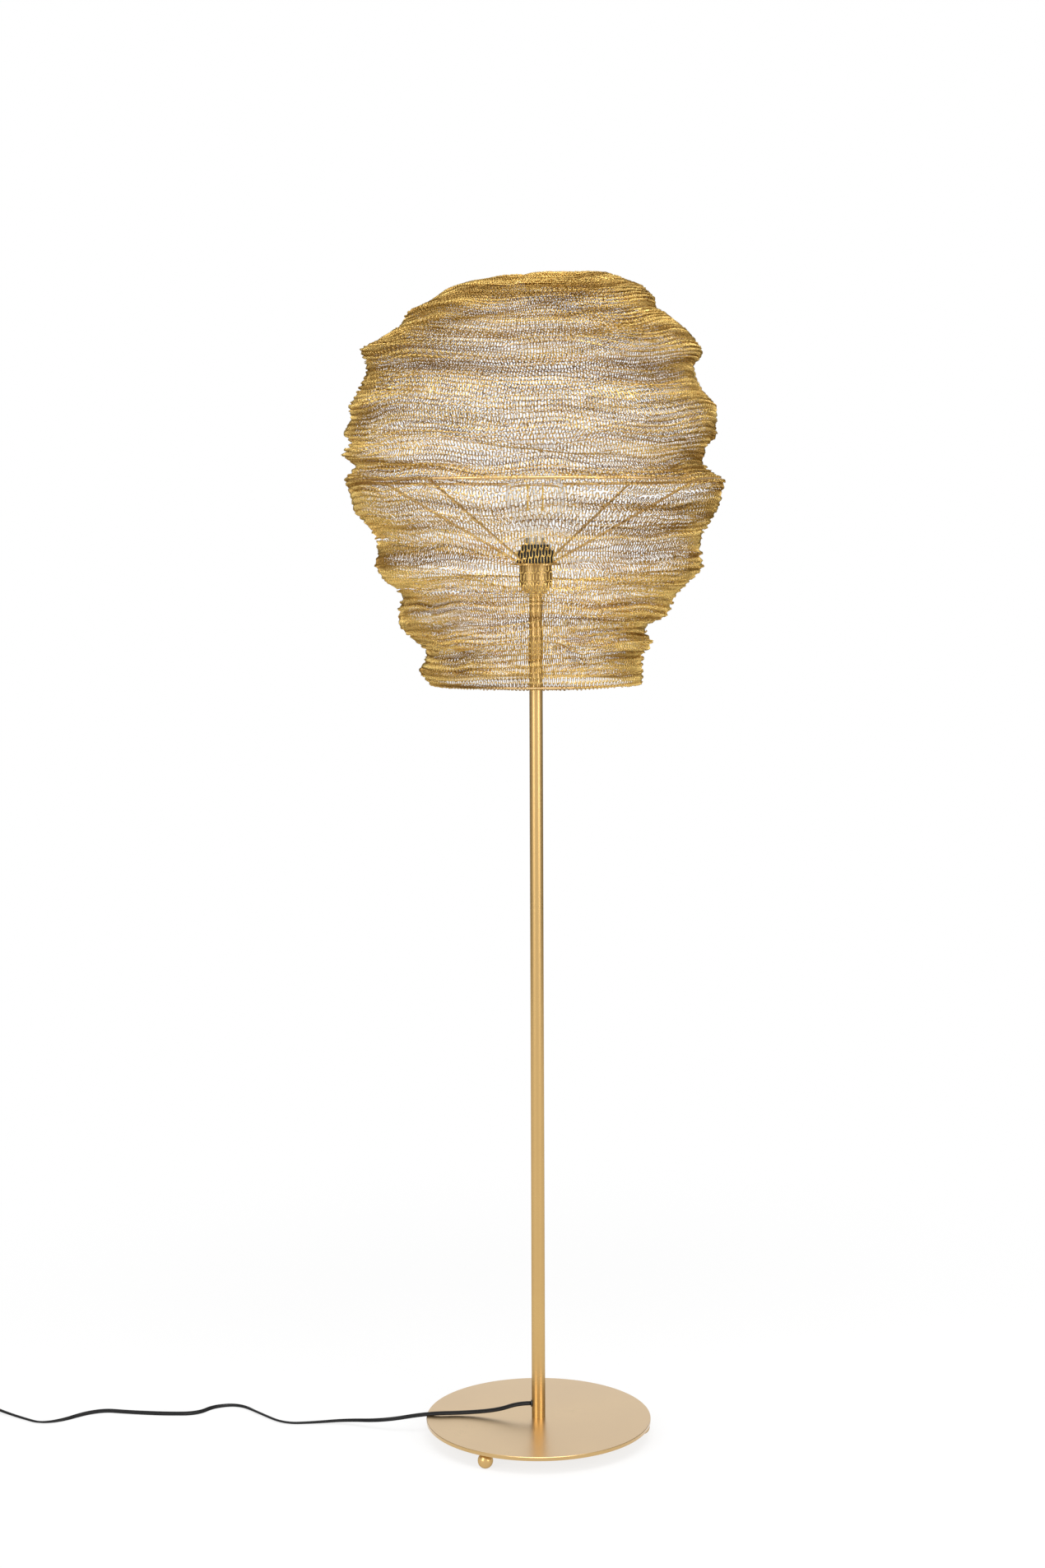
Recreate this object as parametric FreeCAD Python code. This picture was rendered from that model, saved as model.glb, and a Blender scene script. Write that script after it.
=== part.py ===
# Floor lamp: a round plate on three ball feet, one plain pole, a screw lampholder in a cup, and a
# shade of knitted wire mesh crumpled over two wire hoops and four spokes.
# Millimetres, +Z up. The origin is on the pole's axis at floor level. The front faces -Y.
import FreeCAD, Part
import math
import os

Vector = FreeCAD.Vector
UP = Vector(0, 0, 1)

# Clearances
seat_gap = 0.1       # between pieces that are screwed or pushed together
rest_gap = 0.3       # between pieces that only rest on each other
running_gap = 0.3    # round pieces that slide or turn
weld_gap = 0.2       # between two wires that are welded

# Base
plate_diameter = 300.0
plate_thickness = 5.0
plate_edge_chamfer = 0.5
foot_diameter = 20.0
foot_flat_depth = 0.5         # the flats turned on a ball's top and bottom
foot_circle_radius = 139.0
foot_azimuths = (-30.0, 90.0, 210.0)
stud_diameter = 6.0
stud_in_ball = 9.0
stud_in_plate = 3.4
base_bolt_diameter = 8.0
base_bolt_head_flats = 13.0
base_bolt_head_height = 5.3
base_washer_diameter = 24.0
base_washer_thickness = 1.6
base_bolt_engagement = 11.0

# Pole
pole_diameter = 18.0
pole_wall = 1.2
pole_length = 1102.0
end_plug_height = 12.0
top_plug_height = 14.0

# Flex and its bush
cord_diameter = 5.4
cord_exit_height = 17.0       # above the plate
bush_neck_wall = 0.9
bush_flange_width = 0.7
bush_bore_gap = 0.1
bush_stand_out = 1.2
bush_neck_inside = 2.3        # from the pole's outside inwards
inner_bend_radius = 11.0
inner_offset_bend_radius = 150.0
inner_cord_gap = 0.7          # the flex lies near the far wall of the pole
inner_offset_run = 32.0
inner_offset_below_top = 34.0
jacket_above_nipple = 3.4

# Lampholder
nipple_diameter = 10.0
nipple_bore = 7.2
nipple_above_pole = 11.0
nipple_nut_flats = 14.0
nipple_nut_height = 4.0
cup_gap = 1.2                 # round the lampholder
cup_wall = 1.0
cup_floor = 1.2
cup_height = 38.0
cup_chamfer_height = 11.0
cup_floor_diameter = 24.0
cap_bottom_diameter = 20.0
cap_step = 0.4                # the cap is this much smaller in radius than the body
cap_wall = 2.0
cap_cone_height = 10.4
cap_height = 18.4
holder_diameter = 40.0
holder_wall = 3.0
holder_height = 42.0
holder_mouth_diameter = 28.8
holder_lip = 2.5
block_height = 15.8
screw_gap = 0.25              # round the bulb's cap
screw_shell_wall = 0.45
screw_shell_height = 23.0
contact_rise = 4.4
contact_thickness = 0.4
contact_width = 4.0
contact_reach = 3.0
contact_leg_at = 6.0
terminal_offset = 9.0
terminal_head_diameter = 5.0
terminal_head_height = 3.4
terminal_shank_diameter = 3.0
terminal_shank_length = 6.0
core_diameter = 1.6
grip_diameter = 16.0
grip_height = 2.8
shade_ring_wall = 4.4
shade_ring_height = 17.0
shade_ring_ribs = 24
shade_ring_rib_width = 2.0
shade_ring_rib_height = 0.6

# Shade frame
carrier_outer = 66.0
carrier_thickness = 2.5
spoke_azimuths = (57.0, 147.0, -123.0, -33.0)
spoke_diameter = 3.5
spoke_start_radius = 29.5
main_ring_radius = 249.0
main_ring_wire = 4.0
main_ring_rise = 110.2        # above the carrier
bottom_ring_radius = 140.0
bottom_ring_wire = 3.0
bottom_ring_drop = 269.0      # below the main ring

# Knitted mesh: the outline through its main folds. Each point is a share of the way out and a share
# of the way up, first from the bottom ring to the main ring, then from the tuck to above that ring.
mesh_thickness = 1.6
mesh_clearance = 5.0          # from a ring's centre line to the mesh's outside
hem_clearance = 3.0           # from the bottom ring's centre line, outwards and down
crown_rise = 276.0            # above the main ring
tuck_radius = 7.0
lower_folds = [
    (0.07, 0.06),
    (0.0, 0.13),
    (0.36, 0.36),
    (0.33, 0.42),
    (0.69, 0.58),
    (0.64, 0.67),
    (0.94, 0.88),
    (1.0, 1.005),
]
upper_folds = [
    (0.92, 0.08),
    (0.98, 0.13),
    (0.94, 0.18),
    (0.99, 0.24),
    (0.96, 0.36),
    (0.85, 0.52),
    (0.89, 0.62),
    (0.69, 0.77),
    (0.63, 0.83),
    (0.47, 0.93),
    (0.28, 0.99),
    (0.1, 1.0),
    (0.03, 0.99),
    (0.0, 0.97),
]
tuck_depth = 22.0
tie_ring_wire = 2.0
tie_ring_depth = 16.0         # below the crown

# Bulb. Heights are above the tip's contact face.
globe_radius = 40.0
globe_rise = 85.5
glass_wall = 1.0
neck_radius = 12.3
neck_bottom_rise = 22.5
neck_top_rise = 41.5
globe_foot_radius = 22.0
bulb_cap_radius = 13.1
bulb_cap_wall = 0.5
bulb_cap_bottom_rise = 7.5
bulb_cap_top_rise = 30.5
bulb_tip_radius = 4.5
bulb_tip_height = 2.0
stem_rod_radius = 2.2
stem_bottom_rise = 31.0
stem_rim_height = 2.0
stem_flare_rise = 43.5
stem_top_rise = 95.5
filament_radius = 1.0
filament_circle_radius = 14.0
filament_bottom_rise = 66.5
filament_top_rise = 102.5
filament_azimuths = (45.0, 135.0, 225.0, 315.0)
filament_wire_radius = 0.4
filament_wire_slope = 6.0     # a wire starts this much below or above the stick's end

# Foot switch, lying on the floor along X. Places on the floor are measured from the plate's rim.
switch_from_rim = (-692.0, 96.0)
switch_length = 84.0
switch_width = 42.0
switch_corner_radius = 14.0
switch_wall = 2.0
switch_parting_height = 8.0
switch_height = 19.0
button_diameter = 26.4
button_flange_diameter = 31.0
button_flange_height = 2.4
button_stand_out = 4.0
button_dome_fillet = 1.5
button_stem_diameter = 6.0
button_stem_length = 5.0
button_travel = 2.5
spring_wire = 0.7
spring_radius = 5.4
spring_turns = 4
switch_block_length = 26.0
switch_block_width = 18.0
switch_block_height = 3.5
switch_contact_thickness = 0.6
switch_contact_height = 3.4
switch_contact_length = 8.0
switch_screw_spacing = 56.0
switch_screw_offset = 15.0
switch_screw_diameter = 3.0
switch_screw_head = 5.0
switch_screw_head_height = 1.4
relief_length = 20.0
relief_base_diameter = 9.0
relief_tip_wall = 0.4
relief_neck_diameter = 6.0
relief_collar_diameter = 8.4
relief_collar_length = 1.5
lead_length = 9.0
clamp_width = 5.0
clamp_length = 16.0
clamp_thickness = 2.0

# Plug, lying on the floor along X with its pins towards +X
plug_rear_from_rim = (-698.0, 226.0)
plug_length = 36.0
plug_front_width = 35.0
plug_front_height = 13.7
plug_rear_width = 17.0
plug_rear_height = 10.0
plug_corner_radius = 4.0
plug_relief_length = 30.0
plug_relief_base = 8.4
pin_spacing = 18.6
pin_diameter = 4.0
pin_length = 19.0
pin_sleeve_length = 10.0
pin_sleeve_diameter = 3.4
pin_core_diameter = 2.6
pin_tip_chamfer = 0.6

# Put-away coil
coil_from_rim = (-766.0, 190.0)
coil_outer_radius = 36.0      # of the tube's centre line
coil_turns = 4.25
coil_turn_gap = 0.6           # between turns, side by side and one above the other
coil_floor_gap = 1.1          # the tie passes under the turns
coil_straight_end = 6.0
coil_tie_width = 5.0
coil_tie_thickness = 0.8

# Heights and places that follow from the values above
plate_bottom = foot_diameter - 2 * foot_flat_depth
plate_top = plate_bottom + plate_thickness
pole_top = plate_top + pole_length
pole_bore_radius = pole_diameter / 2 - pole_wall
cord_exit = plate_top + cord_exit_height
cord_radius = cord_diameter / 2
inner_cord_offset = pole_bore_radius - cord_radius - inner_cord_gap
bush_neck_diameter = cord_diameter + 2 * (bush_bore_gap + bush_neck_wall)
bush_flange_diameter = bush_neck_diameter + 2 * bush_flange_width
bush_face = -pole_diameter / 2 - bush_stand_out
cup_diameter = holder_diameter + 2 * (cup_gap + cup_wall)
cap_diameter = holder_diameter - 2 * cap_step
shade_ring_outer = holder_diameter + 2 * (running_gap + shade_ring_wall)
screw_shell_inner = 2 * (bulb_cap_radius + screw_gap)
relief_tip_diameter = cord_diameter + 2 * relief_tip_wall
coil_pitch = cord_diameter + coil_turn_gap
coil_layer_step = coil_pitch
cup_top = pole_top + cup_height
nipple_top = pole_top + nipple_above_pole
nut_bottom = pole_top + cup_floor
cap_bottom = nut_bottom + nipple_nut_height + rest_gap
holder_bottom = cap_bottom + cap_height
holder_top = holder_bottom + holder_height
block_top = holder_bottom + block_height
jacket_top = nipple_top + jacket_above_nipple
carrier_bottom = cup_top + rest_gap
carrier_top = carrier_bottom + carrier_thickness
shade_ring_bottom = carrier_top + rest_gap
carrier_bore_radius = holder_diameter / 2 + running_gap + seat_gap
main_ring_height = carrier_top + main_ring_rise
bottom_ring_height = main_ring_height - bottom_ring_drop
crown_height = main_ring_height + crown_rise
tip_bottom = block_top + contact_rise + rest_gap
globe_height = tip_bottom + globe_rise
bulb_cap_bottom = tip_bottom + bulb_cap_bottom_rise
stem_bottom = tip_bottom + stem_bottom_rise
rim = -plate_diameter / 2     # the rim's place on the side where the cord leaves
switch_centre = (rim + switch_from_rim[0], switch_from_rim[1])
switch_ends = (switch_centre[0] - switch_length / 2, switch_centre[0] + switch_length / 2)
flange_top = switch_height - switch_wall - rest_gap
flange_bottom = flange_top - button_flange_height
block_low = switch_wall
block_high = switch_wall + switch_block_height
plug_rear = (rim + plug_rear_from_rim[0], plug_rear_from_rim[1])
plug_axis_height = plug_front_height / 2
plug_front = plug_rear[0] + plug_length
plug_relief_tip = plug_rear[0] - plug_relief_length
coil_centre = (rim + coil_from_rim[0], coil_from_rim[1])
coil_low = cord_radius + coil_floor_gap
coil_high = coil_low + coil_layer_step
coil_enter = (coil_centre[0] - coil_outer_radius, coil_centre[1])
coil_leave = (coil_centre[0], coil_centre[1] + coil_outer_radius)
floor_line = cord_radius + 0.2

# The cord's free stretches, as points chosen by hand. They run from the pole's bush over the
# plate's rim and along the floor to the switch, then to the coil, and from the coil to the plug.
route_to_switch = [
    (bush_face, 0.0, cord_exit),
    (bush_face - 16.8, 0.0, cord_exit),
    (bush_face - 44.0, -1.0, plate_top + 9.2),
    (rim + 52.0, -3.0, plate_top + 6.0),
    (rim - 2.0, -6.0, plate_top + 8.0),
    (rim - 58.0, 8.0, 17.0),
    (rim - 112.0, 30.0, 6.2),
    (rim - 154.0, 36.0, floor_line),
    (rim - 195.0, 28.0, floor_line),
    (rim - 232.0, 78.0, floor_line),
    (rim - 262.0, 108.0, floor_line),
    (rim - 297.0, 100.0, floor_line),
    (rim - 316.0, 64.0, floor_line),
    (rim - 358.0, 65.0, floor_line),
    (rim - 412.0, 79.0, floor_line),
    (rim - 456.0, 80.0, floor_line),
    (rim - 517.0, 25.0, floor_line),
    (rim - 559.0, 57.0, floor_line),
    (rim - 588.0, 84.0, floor_line + 1.6),
    (rim - 610.0, 96.0, switch_parting_height),
    (switch_ends[1] + relief_length, switch_centre[1], switch_parting_height),
]
route_to_coil = [
    (switch_ends[0] - relief_length, switch_centre[1], switch_parting_height),
    (rim - 782.0, 96.0, switch_parting_height),
    (coil_enter[0] + 2.0, 119.0, coil_low + 1.6),
    (coil_enter[0], 151.0, coil_low),
    (coil_enter[0], coil_enter[1] - coil_straight_end, coil_low),
]
route_to_plug = [
    (coil_leave[0] + coil_straight_end, coil_leave[1], coil_high),
    (coil_leave[0] + coil_straight_end + 9.0, coil_leave[1], coil_high),
    (plug_relief_tip - 9.0, plug_rear[1], plug_axis_height),
    (plug_relief_tip, plug_rear[1], plug_axis_height),
]


def cylinder(diameter, low, high, x=0.0, y=0.0):
    return Part.makeCylinder(diameter / 2, high - low, Vector(x, y, low))


def rod_along_x(diameter, start, end, y, z):
    return Part.makeCylinder(diameter / 2, end - start, Vector(start, y, z), Vector(1, 0, 0))


def tube(outer, inner, low, high):
    return cylinder(outer, low, high).cut(cylinder(inner, low, high))


def box(low, high):
    size = Vector(*high) - Vector(*low)
    return Part.makeBox(size.x, size.y, size.z, Vector(*low))


def turned(outline):
    """A solid of revolution from a closed outline of (radius, height) points."""
    points = [Vector(radius, 0, height) for radius, height in outline]
    face = Part.Face(Part.makePolygon(points + points[:1]))
    return face.revolve(Vector(0, 0, 0), UP, 360)


def hexagon(flats, low, high):
    radius = flats / math.sqrt(3)
    corners = [
        Vector(radius * math.cos(math.radians(60 * k)), radius * math.sin(math.radians(60 * k)), low)
        for k in range(7)
    ]
    return Part.Face(Part.makePolygon(corners)).extrude(Vector(0, 0, high - low))


def at_azimuth(radius, azimuth, height):
    """A point at an angle from the front (-Y), counted towards +X."""
    angle = math.radians(azimuth)
    return Vector(radius * math.sin(angle), -radius * math.cos(angle), height)


def rod(start, end, diameter):
    return Part.makeCylinder(diameter / 2, (end - start).Length, start, end - start)


def unit(vector):
    return vector * (1 / vector.Length)


# Routes of lines and tangent arcs


def turn_at(before, corner, after):
    return unit(corner - before).getAngle(unit(after - corner))


def corner_arc(start, corner, end):
    """The arc that leaves start towards corner and arrives at end, both equally far from it."""
    half_turn = turn_at(start, corner, end) / 2
    if half_turn < 1e-6:
        return Part.LineSegment(start, end).toShape()
    radius = (corner - start).Length / math.tan(half_turn)
    inward = unit(unit(start - corner) + unit(end - corner))
    middle = corner + inward * (radius / math.cos(half_turn) - radius)
    return Part.Arc(start, middle, end).toShape()


def arc_radii(points):
    """Each corner's radius: 0.45 of the shorter run beside it, by the tangent of half the turn."""
    radii = []
    for before, corner, after in zip(points, points[1:], points[2:]):
        shorter = min((corner - before).Length, (after - corner).Length)
        radii.append(0.45 * shorter / math.tan(turn_at(before, corner, after) / 2))
    return radii


def route_wire(points, radii):
    edges = []
    here = points[0]
    for before, corner, after, radius in zip(points, points[1:], points[2:], radii):
        reach = radius * math.tan(turn_at(before, corner, after) / 2)
        arc_start = corner + unit(before - corner) * reach
        arc_end = corner + unit(after - corner) * reach
        edges.append(Part.LineSegment(here, arc_start).toShape())
        edges.append(corner_arc(arc_start, corner, arc_end))
        here = arc_end
    edges.append(Part.LineSegment(here, points[-1]).toShape())
    return Part.Wire(edges)


def swept(wire, diameter, start, direction):
    profile = Part.Wire(Part.makeCircle(diameter / 2, start, direction))
    return wire.makePipeShell([profile], True, False)


def report_tube(name, solid, wire, diameter):
    expected = wire.Length * math.pi * diameter ** 2 / 4
    print(f"{name}: length {wire.Length:.1f} mm, volume / (section x length) {solid.Volume / expected:.4f}")


def cord_stretch(name, route):
    points = [Vector(*point) for point in route]
    radii = arc_radii(points)
    wire = route_wire(points, radii)
    solid = swept(wire, cord_diameter, points[0], points[1] - points[0])
    report_tube(name, solid, wire, cord_diameter)
    print(f"  radii in diameters: {[round(radius / cord_diameter, 1) for radius in radii]}")
    return solid


def biarc(start, start_way, end, end_way):
    """Two arcs that join two points with the given unit directions."""
    span = end - start
    both = start_way + end_way
    spread = 2 * (1 - start_way.dot(end_way))
    along = span.dot(both)
    reach = (math.sqrt(along ** 2 + spread * span.dot(span)) - along) / spread
    first_corner = start + start_way * reach
    second_corner = end - end_way * reach
    middle = (first_corner + second_corner) * 0.5
    return [corner_arc(start, first_corner, middle), corner_arc(middle, second_corner, end)]


def wound_wire(centre_line, turns, first_way, last_way, straight_end):
    """A wire through a winding's points at each quarter turn, with a straight piece at each end."""
    steps = round(turns * 4)
    step = turns / steps
    points = [centre_line(k * step) for k in range(steps + 1)]
    nudge = 0.01
    ways = [unit(centre_line(k * step + nudge) - centre_line(k * step - nudge)) for k in range(steps + 1)]
    ways[0] = first_way
    ways[-1] = last_way
    edges = [Part.LineSegment(points[0] - first_way * straight_end, points[0]).toShape()]
    for k in range(steps):
        edges += biarc(points[k], ways[k], points[k + 1], ways[k + 1])
    edges.append(Part.LineSegment(points[-1], points[-1] + last_way * straight_end).toShape())
    return Part.Wire(edges)


def least_gap(wire, diameter):
    """The least clear distance between stretches of the wire that are over 3 diameters apart along it."""
    count = int(wire.Length / (diameter / 2))
    points = wire.discretize(Number=count)
    apart = math.ceil(3 * diameter / (wire.Length / count))
    gaps = [
        points[i].distanceToPoint(points[j])
        for i in range(count)
        for j in range(i + apart, count)
    ]
    return min(gaps) - diameter


# Base


def base_plate():
    plate = cylinder(plate_diameter, plate_bottom, plate_top)
    rims = [edge for edge in plate.Edges if abs(edge.Length - math.pi * plate_diameter) < 1]
    plate = plate.makeChamfer(plate_edge_chamfer, rims)
    plate = plate.cut(cylinder(base_bolt_diameter + 2 * seat_gap, plate_bottom, plate_top))
    for azimuth in foot_azimuths:
        centre = at_azimuth(foot_circle_radius, azimuth, 0)
        blind_end = plate_bottom + stud_in_plate + seat_gap
        hole = cylinder(stud_diameter + 2 * seat_gap, plate_bottom, blind_end, centre.x, centre.y)
        plate = plate.cut(hole)
    return plate


def ball_feet():
    feet = []
    for azimuth in foot_azimuths:
        centre = at_azimuth(foot_circle_radius, azimuth, plate_bottom / 2)
        ball = Part.makeSphere(foot_diameter / 2, centre)
        ball = ball.common(cylinder(2 * foot_diameter, 0, plate_bottom, centre.x, centre.y))
        hole_bottom = plate_bottom - stud_in_ball - seat_gap
        hole = cylinder(stud_diameter + 2 * seat_gap, hole_bottom, plate_bottom, centre.x, centre.y)
        feet.append(ball.cut(hole))
    return Part.makeCompound(feet)


def foot_studs():
    studs = []
    for azimuth in foot_azimuths:
        centre = at_azimuth(foot_circle_radius, azimuth, 0)
        low = plate_bottom - stud_in_ball
        studs.append(cylinder(stud_diameter, low, plate_bottom + stud_in_plate, centre.x, centre.y))
    return Part.makeCompound(studs)


def base_washer():
    hole = base_bolt_diameter + 2 * seat_gap
    return tube(base_washer_diameter, hole, plate_bottom - base_washer_thickness, plate_bottom)


def base_bolt():
    head_top = plate_bottom - base_washer_thickness
    head = hexagon(base_bolt_head_flats, head_top - base_bolt_head_height, head_top)
    return head.fuse(cylinder(base_bolt_diameter, head_top, plate_top + base_bolt_engagement)).removeSplitter()


def pole_end_plug():
    hole = base_bolt_diameter + 2 * seat_gap
    return tube(2 * (pole_bore_radius - seat_gap), hole, plate_top, plate_top + end_plug_height)


# Pole


def pole():
    shell = tube(pole_diameter, 2 * pole_bore_radius, plate_top, pole_top)
    hole = rod_along_x(bush_neck_diameter + 2 * seat_gap, -pole_diameter, 0, 0, cord_exit)
    return shell.cut(hole)


def cord_bush():
    neck_end = -pole_diameter / 2 + bush_neck_inside
    neck = rod_along_x(bush_neck_diameter, bush_face, neck_end, 0, cord_exit)
    flange = rod_along_x(bush_flange_diameter, bush_face, -pole_bore_radius, 0, cord_exit)
    around_pole = cylinder(pole_diameter + 2 * seat_gap, plate_top, pole_top)
    bore = rod_along_x(cord_diameter + 2 * bush_bore_gap, bush_face, neck_end, 0, cord_exit)
    return flange.cut(around_pole).fuse(neck).removeSplitter().cut(bore)


def pole_cord():
    offset_start = pole_top - inner_offset_below_top - inner_offset_run
    points = [
        Vector(bush_face, 0, cord_exit),
        Vector(inner_cord_offset, 0, cord_exit),
        Vector(inner_cord_offset, 0, offset_start),
        Vector(0, 0, offset_start + inner_offset_run),
        Vector(0, 0, jacket_top),
    ]
    radii = [inner_bend_radius, inner_offset_bend_radius, inner_offset_bend_radius]
    wire = route_wire(points, radii)
    solid = swept(wire, cord_diameter, points[0], Vector(1, 0, 0))
    report_tube("pole_cord", solid, wire, cord_diameter)
    return solid


def pole_top_plug():
    outer = 2 * (pole_bore_radius - seat_gap)
    return tube(outer, nipple_diameter + 2 * seat_gap, pole_top - top_plug_height, pole_top)


def holder_nipple():
    return tube(nipple_diameter, nipple_bore, pole_top - top_plug_height, nipple_top)


def nipple_nut():
    nut = hexagon(nipple_nut_flats, nut_bottom, nut_bottom + nipple_nut_height)
    return nut.cut(cylinder(nipple_diameter + 2 * seat_gap, nut_bottom, nut_bottom + nipple_nut_height))


# Lampholder


def holder_cup():
    hole = nipple_diameter / 2 + seat_gap
    outer = cup_diameter / 2
    inner = outer - cup_wall
    floor_edge = cup_floor_diameter / 2
    shoulder = pole_top + cup_chamfer_height
    return turned([
        (hole, pole_top),
        (floor_edge, pole_top),
        (outer, shoulder),
        (outer, cup_top),
        (inner, cup_top),
        (inner, shoulder + cup_wall / 2),
        (floor_edge - cup_wall / 2, pole_top + cup_floor),
        (hole, pole_top + cup_floor),
    ])


def holder_cap():
    hole = nipple_diameter / 2 + seat_gap
    outer = cap_diameter / 2
    low_edge = cap_bottom_diameter / 2
    shoulder = cap_bottom + cap_cone_height
    return turned([
        (hole, cap_bottom),
        (low_edge, cap_bottom),
        (outer, shoulder),
        (outer, holder_bottom),
        (outer - cap_wall, holder_bottom),
        (outer - cap_wall, shoulder + cap_wall / 2),
        (low_edge - cap_wall / 2, cap_bottom + cap_wall),
        (hole, cap_bottom + cap_wall),
    ])


def holder_body():
    outer = holder_diameter / 2
    inner = outer - holder_wall
    mouth = holder_mouth_diameter / 2
    return turned([
        (outer, holder_bottom),
        (outer, holder_top),
        (mouth, holder_top),
        (mouth, holder_top - holder_lip),
        (inner, holder_top - holder_lip),
        (inner, holder_bottom),
    ])


def contact_block():
    block = cylinder(holder_diameter - 2 * holder_wall - 2 * seat_gap, holder_bottom, block_top)
    for side in (-1, 1):
        hole_top = holder_bottom + terminal_shank_length + seat_gap
        hole = cylinder(
            terminal_shank_diameter + 2 * seat_gap, holder_bottom, hole_top, side * terminal_offset
        )
        block = block.cut(hole)
    return block


def screw_shell():
    outer = screw_shell_inner + 2 * screw_shell_wall
    return tube(outer, screw_shell_inner, block_top, block_top + screw_shell_height)


def centre_contact():
    half = contact_width / 2
    top = block_top + contact_rise
    arm = box((-contact_reach, -half, top - contact_thickness), (contact_leg_at, half, top))
    leg = box((contact_leg_at - contact_thickness, -half, block_top), (contact_leg_at, half, top))
    return arm.fuse(leg).removeSplitter()


def terminal_screws():
    screws = []
    for side in (-1, 1):
        x = side * terminal_offset
        head = cylinder(terminal_head_diameter, holder_bottom - terminal_head_height, holder_bottom, x)
        shank_top = holder_bottom + terminal_shank_length
        shank = cylinder(terminal_shank_diameter, holder_bottom, shank_top, x)
        screws.append(head.fuse(shank).removeSplitter())
    return Part.makeCompound(screws)


def cord_grip():
    return tube(grip_diameter, cord_diameter + 2 * bush_bore_gap, nipple_top, nipple_top + grip_height)


def core_wires():
    """The flex's two cores, from the end of its jacket to the terminal screws."""
    wires = []
    below_head = holder_bottom - terminal_head_height - core_diameter / 2 - seat_gap
    rise = below_head - jacket_top
    for side in (-1, 1):
        start = Vector(0, side * (core_diameter / 2 + seat_gap), jacket_top)
        end = Vector(side * terminal_offset, 0, below_head)
        points = [
            start,
            start + Vector(0, 0, 0.35 * rise),
            start + Vector(side * 0.7 * terminal_offset, 0, 0.65 * rise),
            end,
        ]
        wire = route_wire(points, arc_radii(points))
        wires.append(swept(wire, core_diameter, points[0], points[1] - points[0]))
    return Part.makeCompound(wires)


def shade_ring():
    low = shade_ring_bottom
    high = low + shade_ring_height
    bore = holder_diameter + 2 * running_gap
    ring = tube(shade_ring_outer - 2 * shade_ring_rib_height, bore, low, high)
    for k in range(shade_ring_ribs):
        rib = box(
            (bore / 2 + 1, -shade_ring_rib_width / 2, low),
            (shade_ring_outer / 2, shade_ring_rib_width / 2, high),
        )
        rib.rotate(Vector(0, 0, 0), UP, 360 * k / shade_ring_ribs)
        ring = ring.fuse(rib)
    return ring.removeSplitter()


# Shade


def carrier_ring():
    return tube(carrier_outer, 2 * carrier_bore_radius, carrier_bottom, carrier_top)


def spokes():
    wires = []
    for azimuth in spoke_azimuths:
        ring_point = at_azimuth(main_ring_radius, azimuth, main_ring_height)
        start = at_azimuth(spoke_start_radius, azimuth, carrier_top + weld_gap + spoke_diameter / 2)
        way = unit(ring_point - start)
        end = ring_point - way * (main_ring_wire / 2 + weld_gap)
        wires.append(rod(start, end, spoke_diameter))
    return Part.makeCompound(wires)


def hoop(radius, wire, height):
    return Part.makeTorus(radius, wire / 2, Vector(0, 0, height))


def offset_inwards(outline, distance):
    """The same outline moved to its inner side, with each corner on the bisector."""
    ways = [
        Vector(b[0] - a[0], 0, b[1] - a[1]).normalize() for a, b in zip(outline, outline[1:])
    ]
    normals = [Vector(way.z, 0, -way.x) for way in ways]
    moved = []
    for k, (radius, height) in enumerate(outline):
        first = normals[max(k - 1, 0)]
        second = normals[min(k, len(normals) - 1)]
        bisector = unit(first + second)
        shift = bisector * (distance / bisector.dot(first))
        moved.append((radius - shift.x, height - shift.z))
    return moved


def mesh_shade():
    outside = [(bottom_ring_radius + hem_clearance, bottom_ring_height - hem_clearance)]
    for out, up in lower_folds:
        radius = bottom_ring_radius + out * (main_ring_radius - bottom_ring_radius)
        outside.append((radius + mesh_clearance, bottom_ring_height + up * bottom_ring_drop))
    for out, up in upper_folds:
        radius = tuck_radius + out * (main_ring_radius + mesh_clearance - tuck_radius)
        outside.append((radius, main_ring_height + up * crown_rise))
    outside.append((tuck_radius, crown_height - tuck_depth))
    inside = offset_inwards(outside, mesh_thickness)
    return turned(outside + inside[::-1])


def top_tie():
    radius = tuck_radius + mesh_thickness + rest_gap + tie_ring_wire / 2
    return hoop(radius, tie_ring_wire, crown_height - tie_ring_depth)


# Bulb


def bulb_glass():
    def globe_point(radius, distance, way):
        """The point of a globe at a distance from the axis, above (1) or below (-1) its middle."""
        return Vector(distance, 0, globe_height + way * math.sqrt(radius ** 2 - distance ** 2))

    inner_globe = globe_radius - glass_wall
    inner_neck = neck_radius - glass_wall
    inner_foot = globe_foot_radius - glass_wall
    outer_foot = globe_point(globe_radius, globe_foot_radius, -1)
    inside_foot = globe_point(inner_globe, inner_foot, -1)
    edges = [
        Part.Arc(
            Vector(0, 0, globe_height + globe_radius), Vector(globe_radius, 0, globe_height), outer_foot
        ).toShape(),
        Part.makePolygon([
            outer_foot,
            Vector(neck_radius, 0, tip_bottom + neck_top_rise),
            Vector(neck_radius, 0, tip_bottom + neck_bottom_rise),
            Vector(inner_neck, 0, tip_bottom + neck_bottom_rise),
            Vector(inner_neck, 0, tip_bottom + neck_top_rise + glass_wall / 2),
            inside_foot,
        ]),
        Part.Arc(
            inside_foot, Vector(inner_globe, 0, globe_height), Vector(0, 0, globe_height + inner_globe)
        ).toShape(),
        Part.LineSegment(
            Vector(0, 0, globe_height + inner_globe), Vector(0, 0, globe_height + globe_radius)
        ).toShape(),
    ]
    outline = Part.Wire(Part.sortEdges([edge for part in edges for edge in part.Edges])[0])
    return Part.Face(outline).revolve(Vector(0, 0, 0), UP, 360)


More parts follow.
